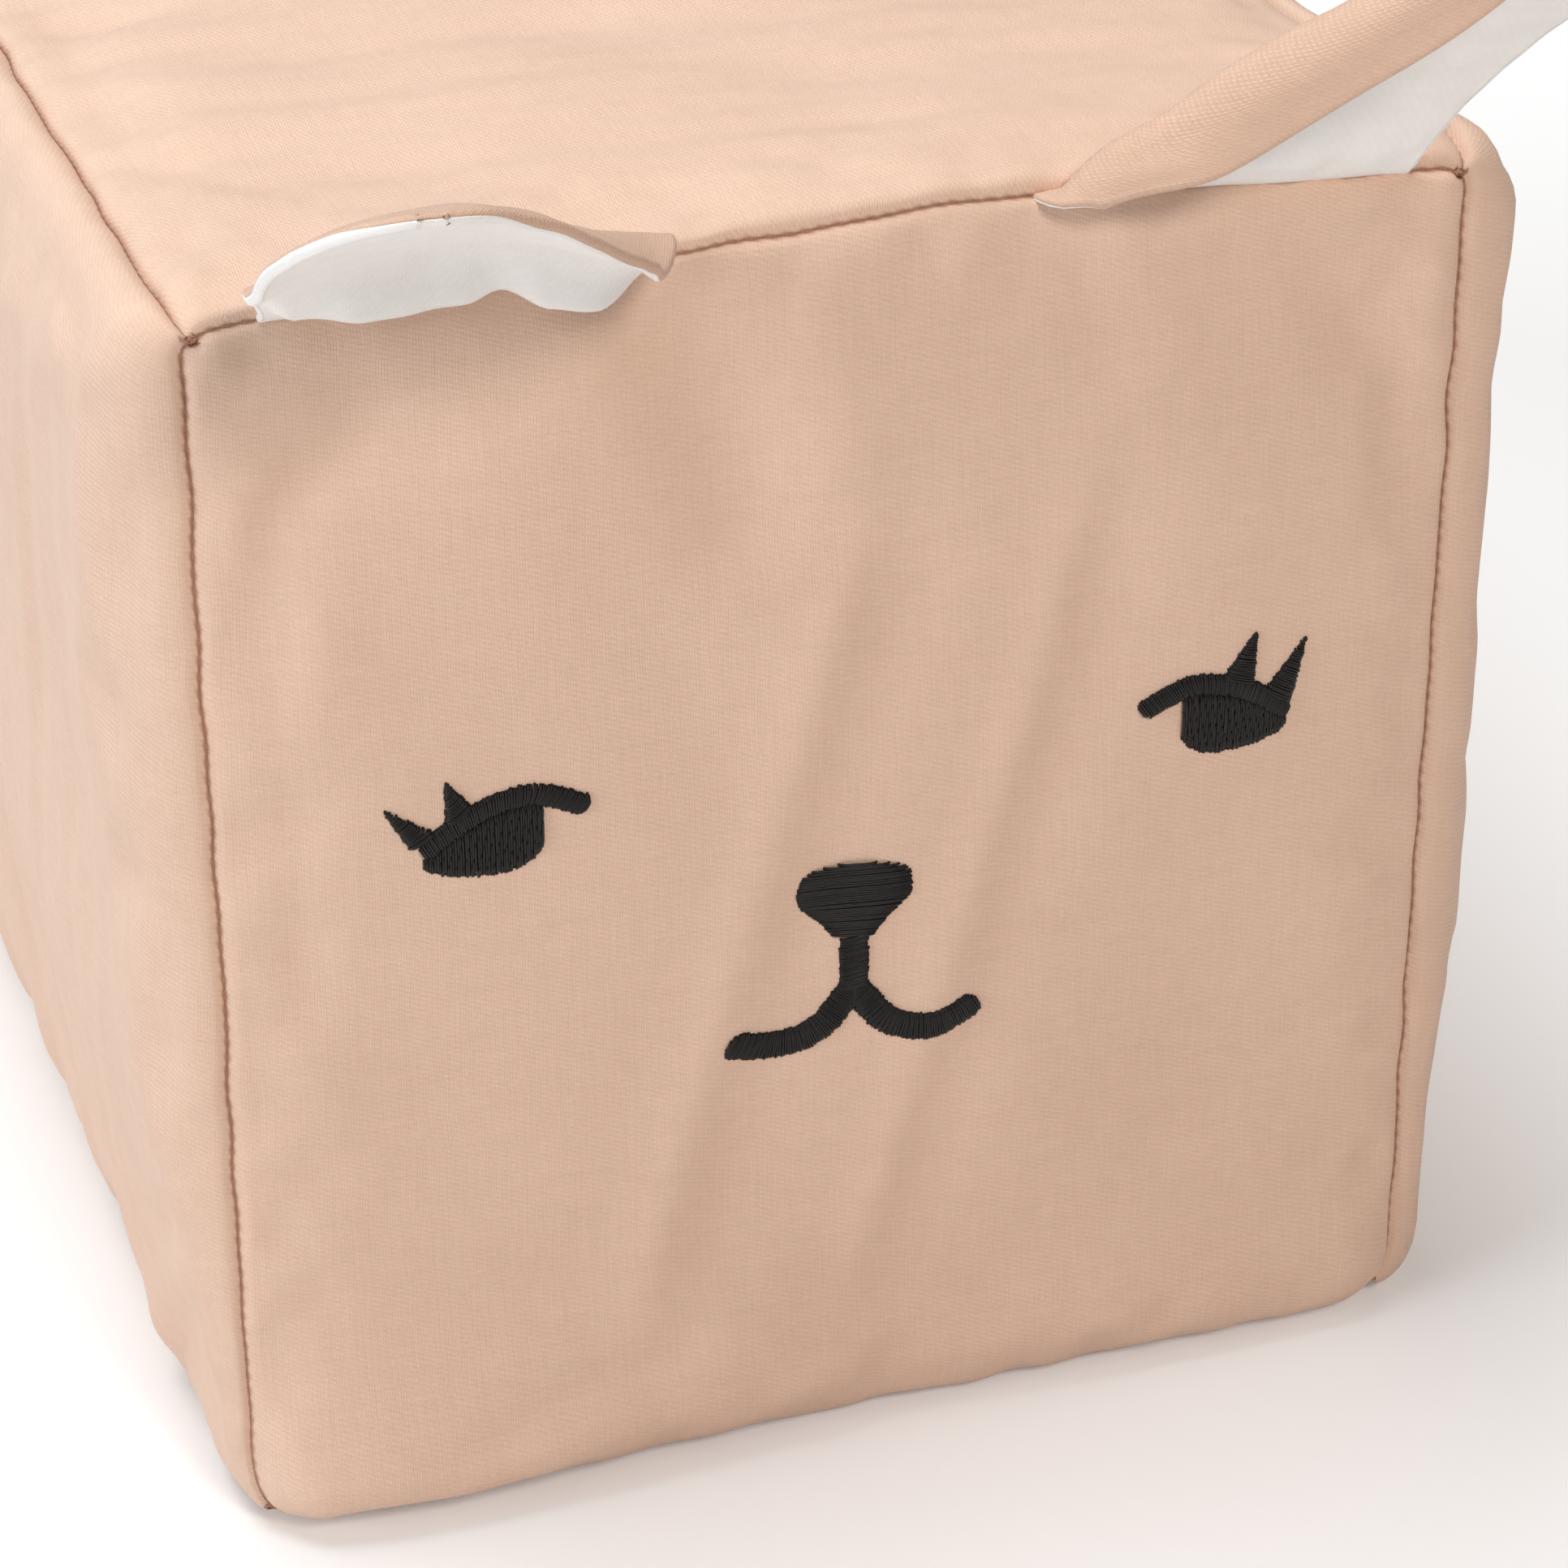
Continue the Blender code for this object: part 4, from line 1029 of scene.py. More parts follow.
class FABRIC_OT_cover(bpy.types.Operator):
    """Sews the panels of the cover and lets them settle over the foam"""

    bl_idname = "fabric_block.cover"
    bl_label = "Cover"

    def execute(self, context):
        cloth = context.scene.fabric_cloth
        settled = settle(cloth)
        cottons = {}
        for lean, panels in CLOTH_LEANS.items():
            name = "Peach cotton " + str(len(cottons) + 1)
            finish = cotton(name, cloth.colour, cloth.rib, cloth.thread, lean, 0.00011, seams=True)
            cottons.update({panel: finish for panel in panels})
        for name in PANELS:
            surface, u, v, flat = panel_surface(name, settled)
            SURFACES[name] = (surface, u, v)
            open_rows = (name == "back_upper_panel", name == "back_lower_panel")
            surface, u, v, flat = with_allowances(surface, u, v, flat, open_rows)
            cut_u, cut_v, off = cut_places(surface, u, v, open_rows)
            cut = (np.ptp(cut_u), np.ptp(cut_v))
            keep, window = None, None
            if name.startswith("back"):
                keep = outside_window(u, v)
                window = cut[0] * cut[1] - 2 * ZIP_WINDOW[0] * ZIP_WINDOW[1]
            panel = sheet_mesh(name + "_cloth", surface, cut_u, cut_v, cottons[name], keep, {"seam_off": off})
            thicken(panel, CLOTH)
            place(panel, "block", "peach_cotton", name)
        return {"FINISHED"}


# Threads, laid out by geometry nodes

def geometry_tree(name, sizes):
    """An empty geometry tree with an input for each size, and the identifiers of those inputs."""
    tree = bpy.data.node_groups.new(name, "GeometryNodeTree")
    sockets = tree.interface
    sockets.new_socket("Geometry", in_out="INPUT", socket_type="NodeSocketGeometry")
    identifiers = {
        label: sockets.new_socket(label, in_out="INPUT", socket_type="NodeSocketFloat").identifier
        for label in sizes
    }
    sockets.new_socket("Geometry", in_out="OUTPUT", socket_type="NodeSocketGeometry")
    return tree, tree.nodes.new("NodeGroupInput").outputs, identifiers


def finish_tree(tree, geometry, finish):
    real = add(tree, "GeometryNodeRealizeInstances", {0: geometry}).outputs[0]
    smoothed = add(tree, "GeometryNodeSetShadeSmooth", {0: real}).outputs[0]
    dressed = add(tree, "GeometryNodeSetMaterial", {0: smoothed, "Material": finish}).outputs[0]
    add(tree, "NodeGroupOutput", {0: dressed})


def run_tree(name, lines, tree, identifiers, sizes):
    """A plain piece that a geometry tree makes along open lines, each a list of points."""
    points, edges = [], []
    for line in lines:
        first = len(points)
        points += [tuple(point) for point in line]
        edges += [(first + step, first + step + 1) for step in range(len(line) - 1)]
    source = new_object(name + "_lines", new_mesh(name + "_lines", points, edges, []))
    change = source.modifiers.new("Tree", "NODES")
    change.node_group = tree
    for label, size in sizes.items():
        change[identifiers[label]] = size
    graph = bpy.context.evaluated_depsgraph_get()
    made = bpy.data.meshes.new_from_object(source.evaluated_get(graph))
    bpy.data.objects.remove(source)
    made.name = name
    return new_object(name, made)


def strand_tree(finish):
    """Round threads along lines."""
    tree, start, identifiers = geometry_tree("Strands", ("Thickness",))
    half = maths(tree, "MULTIPLY", start["Thickness"], 0.5)
    ring = add(tree, "GeometryNodeCurvePrimitiveCircle", {"Resolution": 5, "Radius": half}).outputs[0]
    lines = add(tree, "GeometryNodeMeshToCurve", {"Mesh": start["Geometry"]}).outputs[0]
    round_off = {"Curve": lines, "Profile Curve": ring, "Fill Caps": True}
    finish_tree(tree, add(tree, "GeometryNodeCurveToMesh", round_off).outputs[0], finish)
    return tree, identifiers


def stitch_tree(finish):
    """Short threads one after the other along lines."""
    tree, start, identifiers = geometry_tree("Stitches", ("Pitch", "Length", "Thickness"))
    lines = add(tree, "GeometryNodeMeshToCurve", {"Mesh": start["Geometry"]}).outputs[0]
    steps = {"Curve": lines, "Length": start["Pitch"]}
    spots = add(tree, "GeometryNodeCurveToPoints", steps, mode="LENGTH").outputs
    bead = add(tree, "GeometryNodeMeshUVSphere", {"Segments": 6, "Rings": 5, "Radius": 0.5}).outputs[0]
    thick = start["Thickness"]
    sizes = add(tree, "ShaderNodeCombineXYZ", {0: thick, 1: thick, 2: start["Length"]}).outputs[0]
    laid = {"Points": spots["Points"], "Instance": bead, "Rotation": spots["Rotation"], "Scale": sizes}
    finish_tree(tree, add(tree, "GeometryNodeInstanceOnPoints", laid).outputs[0], finish)
    return tree, identifiers


def trimmed(line, less):
    """A line of points without its ends."""
    run = run_along(line)
    return line[(run > less) & (run < run[-1] - less)]


def row_at(values, old, new):
    """The row of a grid with uneven rows that lies at a new place, read on straight lines."""
    if old[0] > old[-1]:
        old, values = old[::-1], values[::-1]
    flat = values.reshape(len(old), -1)
    return np.array([np.interp(new, old, column) for column in flat.T]).reshape(values.shape[1:])


class FABRIC_OT_stitches(bpy.types.Operator):
    """Sews the stitches along the seams and round the zip's window"""

    bl_idname = "fabric_block.stitches"
    bl_label = "Stitches"

    def execute(self, context):
        seams = context.scene.fabric_seams
        tree, identifiers = stitch_tree(thread("Sewing thread", (0.40, 0.23, 0.15), 0.75, 0.0004))
        sizes = {"Pitch": seams.pitch, "Length": seams.length, "Thickness": seams.thick}
        for name, lines in (("seam_stitches", self.seams()), ("zip_topstitches", self.zip_lines())):
            place(run_tree(name, lines, tree, identifiers, sizes), "block", "peach_cotton")
        return {"FINISHED"}

    def seams(self):
        """Lines along the block's twelve seams, which end a little before its corners."""
        front, upper, lower, left, right = (
            SURFACES[name][0]
            for name in (
                "front_panel", "back_upper_panel", "back_lower_panel", "left_side_panel", "right_side_panel"
            )
        )
        lines = []
        for surface in (front, upper):
            lines += [surface[-1], surface[:, 0], surface[:, -1]]
        lines += [front[0], lower[0], lower[:, 0], lower[:, -1]]
        for surface in (left, right):
            lines += [surface[0], surface[-1]]
        return [trimmed(line, STITCH_CORNER) for line in lines]

    def zip_lines(self):
        """Lines round the zip's window, a little outside it and proud of the cloth."""
        wide, high = ZIP_WINDOW[0] + TOPSTITCH_OFF, ZIP_WINDOW[1] + TOPSTITCH_OFF
        lines = []
        for name, side in (("back_upper_panel", 1), ("back_lower_panel", -1)):
            surface, u, v = SURFACES[name]
            us, vs = u[0], v[:, 0]
            lines.append(row_at(surface, vs, ZIP_HEIGHT + side * high)[np.abs(us) <= wide])
            for end in (-wide, wide):
                column = row_at(np.moveaxis(surface, 1, 0), us, end)
                lines.append(column[np.abs(vs - ZIP_HEIGHT) <= high])
        return [line + np.array([0, TOPSTITCH_PROUD, 0]) for line in lines]


# Embroidery

EYE_APART = 0.0553
EYE_OFF_CENTRE = 0.0009
EYE_HEIGHT = 0.1095
EYE_WIDTH = 0.0170
EYE_STRAND = 0.0046
EYE_LEAST_STRAND = 0.04
LID_WIDTH = 0.0029
LID_OVERLAP_SHARE = 0.8
NOSE_OFF_CENTRE = -0.0012
NOSE_HEIGHT = 0.0975
NOSE_WIDTH = 0.0167
NOSE_DROP = 0.0115
NOSE_ROUNDING = 0.0018
STEM_WIDTH = 0.0038
STEM_LENGTH = 0.0085
MOUTH_REACH = 0.0190
MOUTH_LINE = 0.0040
# How far the strands of each part lean from one edge to the other
SLANTS = {"nose": 0.0004, "stem": 0.0008, "mouth": 0.0005, "lid": 0.0006, "lash": 0.0004}
# Shares of the eye's width, towards the nose and up, from the outer corner's level
LID_SHARES = (
    (0.87, 0.23), (0.69, 0.31), (0.51, 0.38), (0.37, 0.40), (0.21, 0.38),
    (0.05, 0.34), (-0.11, 0.27), (-0.32, 0.14), (-0.50, 0.0),
)
EYE_LOW_SHARES = (
    (0.49, -0.05), (0.43, -0.14), (0.31, -0.22), (0.13, -0.26),
    (-0.12, -0.25), (-0.32, -0.21), (-0.45, -0.15), (-0.49, -0.11),
)
# Each lash: where the two ends of its foot stand on the lid, then its tip
LASH_SHARES = {
    "left": {"inner": (-0.07, -0.29, (-0.29, 0.61)), "outer": (-0.37, -0.58, (-0.79, 0.44))},
    "right": {"inner": (0.12, -0.16, (-0.17, 0.80)), "outer": (-0.27, -0.51, (-0.65, 0.67))},
}
LASH_RUNS = (0.0, 0.33, 0.66, 0.97)
# Shares of the nose's drop, and of its width on each side
NOSE_SHARES = (
    (0.0, 0.32), (0.07, 0.42), (0.20, 0.48), (0.39, 0.50), (0.52, 0.476),
    (0.65, 0.386), (0.78, 0.29), (0.90, 0.228), (1.0, 0.18),
)
# Shares of the mouth's reach, to the side and up from the stem's end
MOUTH_SHARES = (
    (0.0, 0.02), (0.10, -0.12), (0.21, -0.27), (0.36, -0.37), (0.52, -0.41), (0.68, -0.41), (0.85, -0.36),
    (1.0, -0.30),
)
# Strands: the shortest, how unevenly they lie along an edge and beyond it, and how flat they end
LEAST_STRAND = 0.0002
STRAND_JITTER = 0.2
STRAND_OVERRUN = (-0.00012, 0.00022)
ROUND_END_LEAST = 0.14
# The rise of a strand: the share that the shortest has, the length that would add a whole share
# to it, and how it varies
SHORT_RISE_SHARE = 0.35
FULL_RISE_LENGTH = 0.0045
RISE_JITTER = 0.00004
# Long strands are broken by small dips, so that they lie flatter
BROKEN_STEP = 0.00032
BROKEN_EDGE = 0.0012
BROKEN_RISE_SHARES = (0.15, 0.75)
BROKEN_RISE_JITTER = 0.00005
BROKEN_JITTER = 0.0004
DIP = 0.00030
DIP_REACH = 0.00022


def smooth_line(points, dense=24):
    """A dense smooth curve through points."""
    points = np.array(points, float)
    count = len(points)
    return resample(points, np.arange(count), np.linspace(0, count - 1, dense * (count - 1) + 1), 0)


def beside(middles, width):
    """Edges on both sides of a smooth line of middles."""
    middles = smooth_line(middles)
    run = unit(np.gradient(middles, axis=0))
    aside = np.stack([-run[:, 1], run[:, 0]], -1) * width / 2
    return middles + aside, middles - aside


def between(pairs):
    """Smooth edges through pairs of edge places."""
    pairs = np.array(pairs, float)
    return smooth_line(pairs[:, 0]), smooth_line(pairs[:, 1])


def rounding(spot, radius):
    """The share of a strand's length that is left at a spot near a rounded end."""
    return math.sqrt(max(1 - (1 - spot / radius) ** 2, ROUND_END_LEAST)) if spot < radius else 1.0


def strands_across(edges, look, draw, slant=0.0, rounded_ends=(0.0, 0.0), broken=0.0):
    """Threads from one edge to the other, as lines of x, rise over the cloth and height."""
    run = run_along((edges[0] + edges[1]) / 2)
    count = max(3, round(run[-1] / look.pitch))
    spots = (np.arange(count) + 0.5) / count * run[-1]

    def read(edge, lean):
        at = spots + draw.uniform(-STRAND_JITTER, STRAND_JITTER, count) * look.pitch + lean
        return np.stack([np.interp(np.clip(at, 0, run[-1]), run, part) for part in edge.T], -1)

    lines = []
    starts, ends = read(edges[0], -slant / 2), read(edges[1], slant / 2)
    for number, (spot, start, end) in enumerate(zip(spots, starts, ends)):
        long = np.linalg.norm(end - start)
        if long < LEAST_STRAND:
            continue
        way, centre = (end - start) / long, (start + end) / 2
        full = min(rounding(spot, rounded_ends[0]), rounding(run[-1] - spot, rounded_ends[1]))
        start = centre - way * (long / 2 * full + draw.uniform(*STRAND_OVERRUN))
        end = centre + way * (long / 2 * full + draw.uniform(*STRAND_OVERRUN))
        long = np.linalg.norm(end - start)
        share = (1 - np.cos(np.linspace(0, math.pi, 9))) / 2
        if broken:
            share = np.linspace(0, 1, max(9, round(long / BROKEN_STEP)))
        bulge = look.rise * min(1.0, SHORT_RISE_SHARE + long / FULL_RISE_LENGTH)
        arch = np.sqrt(np.clip(1 - (2 * share - 1) ** 4, 0, 1))
        rise = bulge * arch + draw.uniform(-RISE_JITTER, RISE_JITTER)
        if broken:
            low, gain = BROKEN_RISE_SHARES
            edge = smooth(share * long / BROKEN_EDGE) * smooth((1 - share) * long / BROKEN_EDGE)
            rise = look.rise * (low + gain * edge) + draw.uniform(-BROKEN_RISE_JITTER, BROKEN_RISE_JITTER)
            offset = (number % 3) / 3 * broken + draw.uniform(-BROKEN_JITTER, BROKEN_JITTER)
            from_break = (share * long + offset + broken / 2) % broken - broken / 2
            rise = rise - DIP * hump(from_break / DIP_REACH)
        places = start + (end - start) * share[:, None]
        lines.append(np.stack([places[:, 0], rise, places[:, 1]], -1))
    return lines


class FABRIC_OT_embroidery(bpy.types.Operator):
    """Stitches the sleepy eyes, the nose and the mouth"""

    bl_idname = "fabric_block.embroidery"
    bl_label = "Embroidery"

    def execute(self, context):
        look = context.scene.fabric_embroidery
        tree, identifiers = strand_tree(thread("Embroidery thread", look.colour, 0.42, 0.0005))
        surface, u, _ = SURFACES["front_panel"]
        quads = grid_quads(grid_ids(*u.shape))
        ground = BVHTree.FromPolygons(surface.reshape(-1, 3).tolist(), quads.tolist())

        def on_cloth(x, rise, z):
            hit = ground.ray_cast(Vector((x, -1.0, z)), Vector((0.0, 1.0, 0.0)))[0]
            return x, hit.y - rise, z

        def sew(node, lines):
            laid = [[on_cloth(*point) for point in line] for line in lines]
            stitched = run_tree(node + "_stitches", laid, tree, identifiers, {"Thickness": look.thick})
            place(stitched, "block", "black_thread", node)

        draw = np.random.default_rng(5)
        for name, side in (("left", -1), ("right", 1)):
            self.sew_eye(name, side, look, draw, sew)
        self.sew_nose(look, draw, sew)
        self.sew_mouth(look, draw, sew)
        return {"FINISHED"}

    def sew_nose(self, look, draw, sew):
        pairs = []
        for drop, half in NOSE_SHARES:
            z = NOSE_HEIGHT - NOSE_DROP * drop
            pairs.append([(NOSE_OFF_CENTRE - NOSE_WIDTH * half, z), (NOSE_OFF_CENTRE + NOSE_WIDTH * half, z)])
        ends = (NOSE_ROUNDING, 0.0)
        sew("nose", strands_across(between(pairs), look, draw, SLANTS["nose"], ends))

    def sew_mouth(self, look, draw, sew):
        middle, top = NOSE_OFF_CENTRE, NOSE_HEIGHT - NOSE_DROP
        fork = top - STEM_LENGTH
        stem = beside([(middle, top), (middle, (top + fork) / 2), (middle, fork)], STEM_WIDTH)
        sew("mouth_stem", strands_across(stem, look, draw, SLANTS["stem"]))
        for node, side in (("mouth_left", -1), ("mouth_right", 1)):
            middles = [(middle + side * MOUTH_REACH * x, fork + MOUTH_REACH * z) for x, z in MOUTH_SHARES]
            edges, ends = beside(middles, MOUTH_LINE), (0.0, MOUTH_LINE / 2)
            lines = strands_across(edges, look, draw, SLANTS["mouth"] * side, ends)
            for line in lines:
                line[:, 0] = middle + side * np.maximum(side * (line[:, 0] - middle), 0.0)
            sew(node, lines)

    def sew_eye(self, name, side, look, draw, sew):
        centre = side * EYE_APART + EYE_OFF_CENTRE

        def on_face(x_share, z_share):
            return centre - side * EYE_WIDTH * x_share, EYE_HEIGHT + EYE_WIDTH * z_share

        lid = smooth_line(LID_SHARES)[::-1]
        under = LID_WIDTH / 2 / EYE_WIDTH * LID_OVERLAP_SHARE

        def lid_height(x_share):
            return float(np.interp(x_share, lid[:, 0], lid[:, 1]))

        fill = []
        for x_share, low in EYE_LOW_SHARES:
            high = lid_height(x_share) - under
            fill.append([on_face(x_share, min(low, high - EYE_LEAST_STRAND)), on_face(x_share, high)])
        sew(name + "_eye", strands_across(between(fill), look, draw, broken=EYE_STRAND))
        edges = beside([on_face(*share) for share in LID_SHARES], LID_WIDTH)
        ends = (LID_WIDTH / 2, LID_WIDTH / 2)
        sew(name + "_eyelid", strands_across(edges, look, draw, SLANTS["lid"] * side, ends))
        for spot, (foot_in, foot_out, tip) in LASH_SHARES[name].items():
            feet = [(share, lid_height(share) + under) for share in (foot_in, foot_out)]
            pairs = [
                [on_face(*(part_way(a, b, run) for a, b in zip(foot, tip))) for foot in feet]
                for run in LASH_RUNS
            ]
            lash = strands_across(between(pairs), look, draw, SLANTS["lash"] * side)
            sew(f"{name}_{spot}_lash", lash)


# Ears

EAR_WIDTH = 0.056
EAR_CENTRE = 0.0535
EAR_OFF = 0.0016
EAR_SPLAY_SHARE = 0.5
EAR_CURL_SHARE = 0.3
EAR_FOLD_WIDTH = 0.010
EAR_ROOT_TUCK = 0.025
EAR_ROOT_TUCK_SHARE = 0.14
EAR_OUTER_TUCK_SHARE = 0.25
# Where along the ear its inner side starts to narrow, and over what share of it
EAR_NARROWING = (0.12, 0.40)
# Where a folded flap droops: it starts over the first share and is gone over the last two
EAR_DROOP_SHARES = (0.05, 0.22, 0.5)
EAR_TURN_RUN = 0.038
EAR_SEAM_BOW_RUN = (0.004, 0.012)
EAR_SWELL_RUN = (0.0035, 0.004, 0.013)
EAR_SWELL_DROP = 0.9
EAR_STEPS = 48
EAR_TIP_ROWS = 7
EAR_END = 0.9985
# The ears' shapes, as the frame has them: lengths in metres, angles in degrees. Pairs are for the
# inner and the outer side, or for the root and the tip. A swell is how far the lining stands over
# the seam: places across the ear, from the inner edge at -1, and heights
EARS = {
    "left": {
        "side": -1, "length": 0.070, "root": 58, "tip": 24, "bend_share": 0.34, "splays": (12, 17),
        "curls": (42, 25), "fold": 0, "fold_shares": (1.0, 1.0), "fold_power": 1.0, "droop": 0.0,
        "inner_share": 1.0, "seam_turns": (125, 50), "outer_tuck": 0.05,
        "swell": (
            (-1, -0.90, -0.62, -0.40, -0.17, 0.0, 0.5, 0.85, 1),
            (0, 0.0014, 0.0040, 0.0036, 0.0014, 0.0021, 0.0023, 0.0013, 0),
        ),
    },
    "right": {
        "side": 1, "length": 0.075, "root": 78, "tip": 48, "bend_share": 0.5, "splays": (20, 36),
        "curls": (10, 15), "fold": 134, "fold_shares": (0.72, 0.10), "fold_power": 2.2, "droop": 0.0022,
        "inner_share": 0.84, "seam_turns": (95, 75), "outer_tuck": 0.0,
        "swell": ((-1, -0.6, 0.0, 0.9, 1), (0, 0.0006, 0.0009, 0.0006, 0)),
    },
}
EAR_HALF_THICK = 0.0014
EAR_RIM_HALF_THICK = 0.0009
EAR_RIM_FADE = 0.008
EAR_ROOT_HALF_THICK = 0.0006
EAR_ROOT_FADE = 0.0070
EAR_CLOTH = 0.00045
# Depths of the rows that go into the seam
EAR_ROOT_ROWS = (0.0030, 0.0022, 0.0014, 0.0007)
# Turns round the rim, in degrees from the outer side: where each cloth starts to turn, the points
# from there to the seam, the seam's own turn at the tip, and how far rows over the tip turn to it
EAR_RIM_TURNS = {"outer": 20, "lining": 165}
EAR_RIM_POINTS = 6
EAR_TIP_SEAM_TURN = 85
EAR_TIP_SHARES = (0.3, 0.55, 0.8, 0.97)
EAR_TIP_ROW = 0.0003
# Waves of the ears' cloth: height, the shares of the ear that they start over, length
EAR_WAVES = ((0.00045, 0.2, 0.034), (0.00008, 0.1, 0.011))
EAR_GATHERS = (0.00032, 0.0085)
EAR_GATHER_LENGTHENING = 0.15
EAR_GATHER_FADE = 0.16
EAR_GATHER_START = (0.035, 0.05)
FILL_CLEARANCE = 0.0003
FILL_LEAST = 0.00005
FILL_RIM = 0.00002
FILL_SHARE = 0.76


def ear_frame(lean):
    """The ways that an ear points and that its lining faces, for angles above level."""
    lean = np.radians(lean)
    none = np.zeros_like(lean)
    forward = np.stack([none, -np.cos(lean), np.sin(lean)], -1)
    lining = np.stack([none, -np.sin(lean), -np.cos(lean)], -1)
    return forward, lining


def ear_hinge(side):
    off = EAR_OFF / math.sqrt(2)
    return np.array([side * EAR_CENTRE, -HALF_DEPTH - off, HEIGHT + off])


def ear_lean(ear, s):
    return part_way(ear["tip"], ear["root"], 1 - smooth(s / ear["bend_share"]))


def ear_spine(ear, s):
    """Places on the line up the middle of an ear, for shares along it. It goes into the seam below 0."""
    up = np.maximum(s, 0.0)
    shares = up[:, None] * (np.arange(EAR_STEPS) + 0.5) / EAR_STEPS
    splay = np.radians(part_way(*ear["splays"], smooth(shares / EAR_SPLAY_SHARE)))
    ways = ear_frame(ear_lean(ear, shares))[0] * np.cos(splay)[..., None]
    ways[..., 0] = ear["side"] * np.sin(splay)
    run = ways.mean(axis=1) * (ear["length"] * up)[:, None]
    into = np.minimum(s, 0.0)[:, None] * ear["length"] * np.array([0.0, -1.0, 1.0]) / math.sqrt(2)
    return ear_hinge(ear["side"]) + run + into


def ear_turn(ear, s, from_middle):
    """How far the cloth has turned towards its lining, at distances from the ear's middle line."""
    full = EAR_WIDTH / 2
    curl = np.where(from_middle < 0, *ear["curls"]) * np.abs(from_middle) / full * smooth(s / EAR_CURL_SHARE)
    fold_at = -full * part_way(*ear["fold_shares"], 1 - (1 - s) ** ear["fold_power"])
    return np.radians(curl + ear["fold"] * smooth((fold_at - from_middle) / EAR_FOLD_WIDTH))


def ear_surface(ear, s, a):
    """Places in the middle of an ear's cloth, for shares along it and from its inner to its outer edge."""
    up = np.clip(s, 0.0, 1.0)
    narrow_from, narrow_over = EAR_NARROWING
    droop_over, fade_from, fade_over = EAR_DROOP_SHARES
    half = EAR_WIDTH / 2 * np.sqrt(1 - up ** 2) * (1 - EAR_ROOT_TUCK * (1 - smooth(up / EAR_ROOT_TUCK_SHARE)))
    tuck = 1 - ear["outer_tuck"] * (1 - smooth(up / EAR_OUTER_TUCK_SHARE))
    narrow = 1 - (1 - ear["inner_share"]) * smooth((up - narrow_from) / narrow_over)
    half = half * np.where(a > 0, tuck, 1.0) * np.where(a < 0, narrow, 1.0)
    across = (half * a)[..., None] * (np.arange(EAR_STEPS) + 0.5) / EAR_STEPS
    turn = ear_turn(ear, up[..., None], across) * smooth((s[..., None] + EAR_TURN_RUN) / EAR_TURN_RUN)
    sideways = half * a * np.cos(turn).mean(axis=-1)
    deep = half * np.abs(a) * np.sin(turn).mean(axis=-1)
    middle = ear_spine(ear, s[:, 0])[:, None] + deep[..., None] * ear_frame(ear_lean(ear, up))[1]
    middle[..., 0] += ear["side"] * sideways
    flap = smooth(np.degrees(ear_turn(ear, up, half * a)) / 90 - 0.4)
    droop = ear["droop"] * flap * smooth(up / droop_over)
    middle[..., 2] -= droop * (1 - smooth((up - fade_from) / fade_over))
    bow_from, bow_over = EAR_SEAM_BOW_RUN
    middle[..., 2] += seam_bow(middle[..., 0]) * (1 - smooth((s * ear["length"] - bow_from) / bow_over))
    return middle, half


def ear_folds(ear, s, a, half):
    """How far an ear's cloth waves towards its lining side."""
    along, across = s * ear["length"], a * half
    seed = 66 + 5 * ear["side"]
    high, long = EAR_GATHERS
    start, over = EAR_GATHER_START
    near_root = np.exp(-np.maximum(s, 0) / EAR_GATHER_FADE) * smooth((s + start) / over)
    out = high * near_root * waves(np.stack([along * EAR_GATHER_LENGTHENING, across], -1), long, seed)
    for number, (high, share, long) in enumerate(EAR_WAVES, 1):
        out += high * smooth(s / share) * waves(np.stack([along, across], -1), long, seed + number)
    return out


def ear_swell(ear, s, a):
    """How far the lining swells out over the seam that the ear is sewn into."""
    spots, heights = (np.array(values) for values in ear["swell"])
    run = np.interp(a, spots, np.arange(len(spots)))
    low = np.minimum(run.astype(int), len(spots) - 2)
    rise = part_way(heights[low], heights[low + 1], smooth(run - low))
    reach = np.maximum(s, 0.0) * ear["length"]
    rise_over, fade_from, fade_over = EAR_SWELL_RUN
    return rise * smooth(reach / rise_over) * (1 - smooth((reach - fade_from) / fade_over))


def ear_normals(ear, middle, down, over, first):
    """The ways that the cloth's lining side faces, evened out at the tip. first is a row off the seam."""
    normal = unit(np.cross(down, over))
    if normal[first, middle.shape[1] // 2] @ ear_frame(float(ear["root"]))[1] < 0:
        normal = -normal
    last = normal[-EAR_TIP_ROWS].copy()
    for late in range(1, EAR_TIP_ROWS):
        normal[-late] = unit(part_way(last, last.mean(axis=0), 1 - (late - 1) / EAR_TIP_ROWS))
    return normal


def ear_asides(down, over, normal, first):
    """The ways out of the ear at its inner and its outer edge, which meet in one way at the tip."""
    asides = []
    for column, way_out in ((0, -over[:, 0]), (-1, over[:, -1])):
        way = unit(np.cross(down[:, column], normal[:, column]))
        asides.append(way * np.where((way * way_out).sum(-1)[first] < 0, -1.0, 1.0))
    asides[0][-1] = asides[1][-1] = unit(asides[0][-1] + asides[1][-1])
    return asides


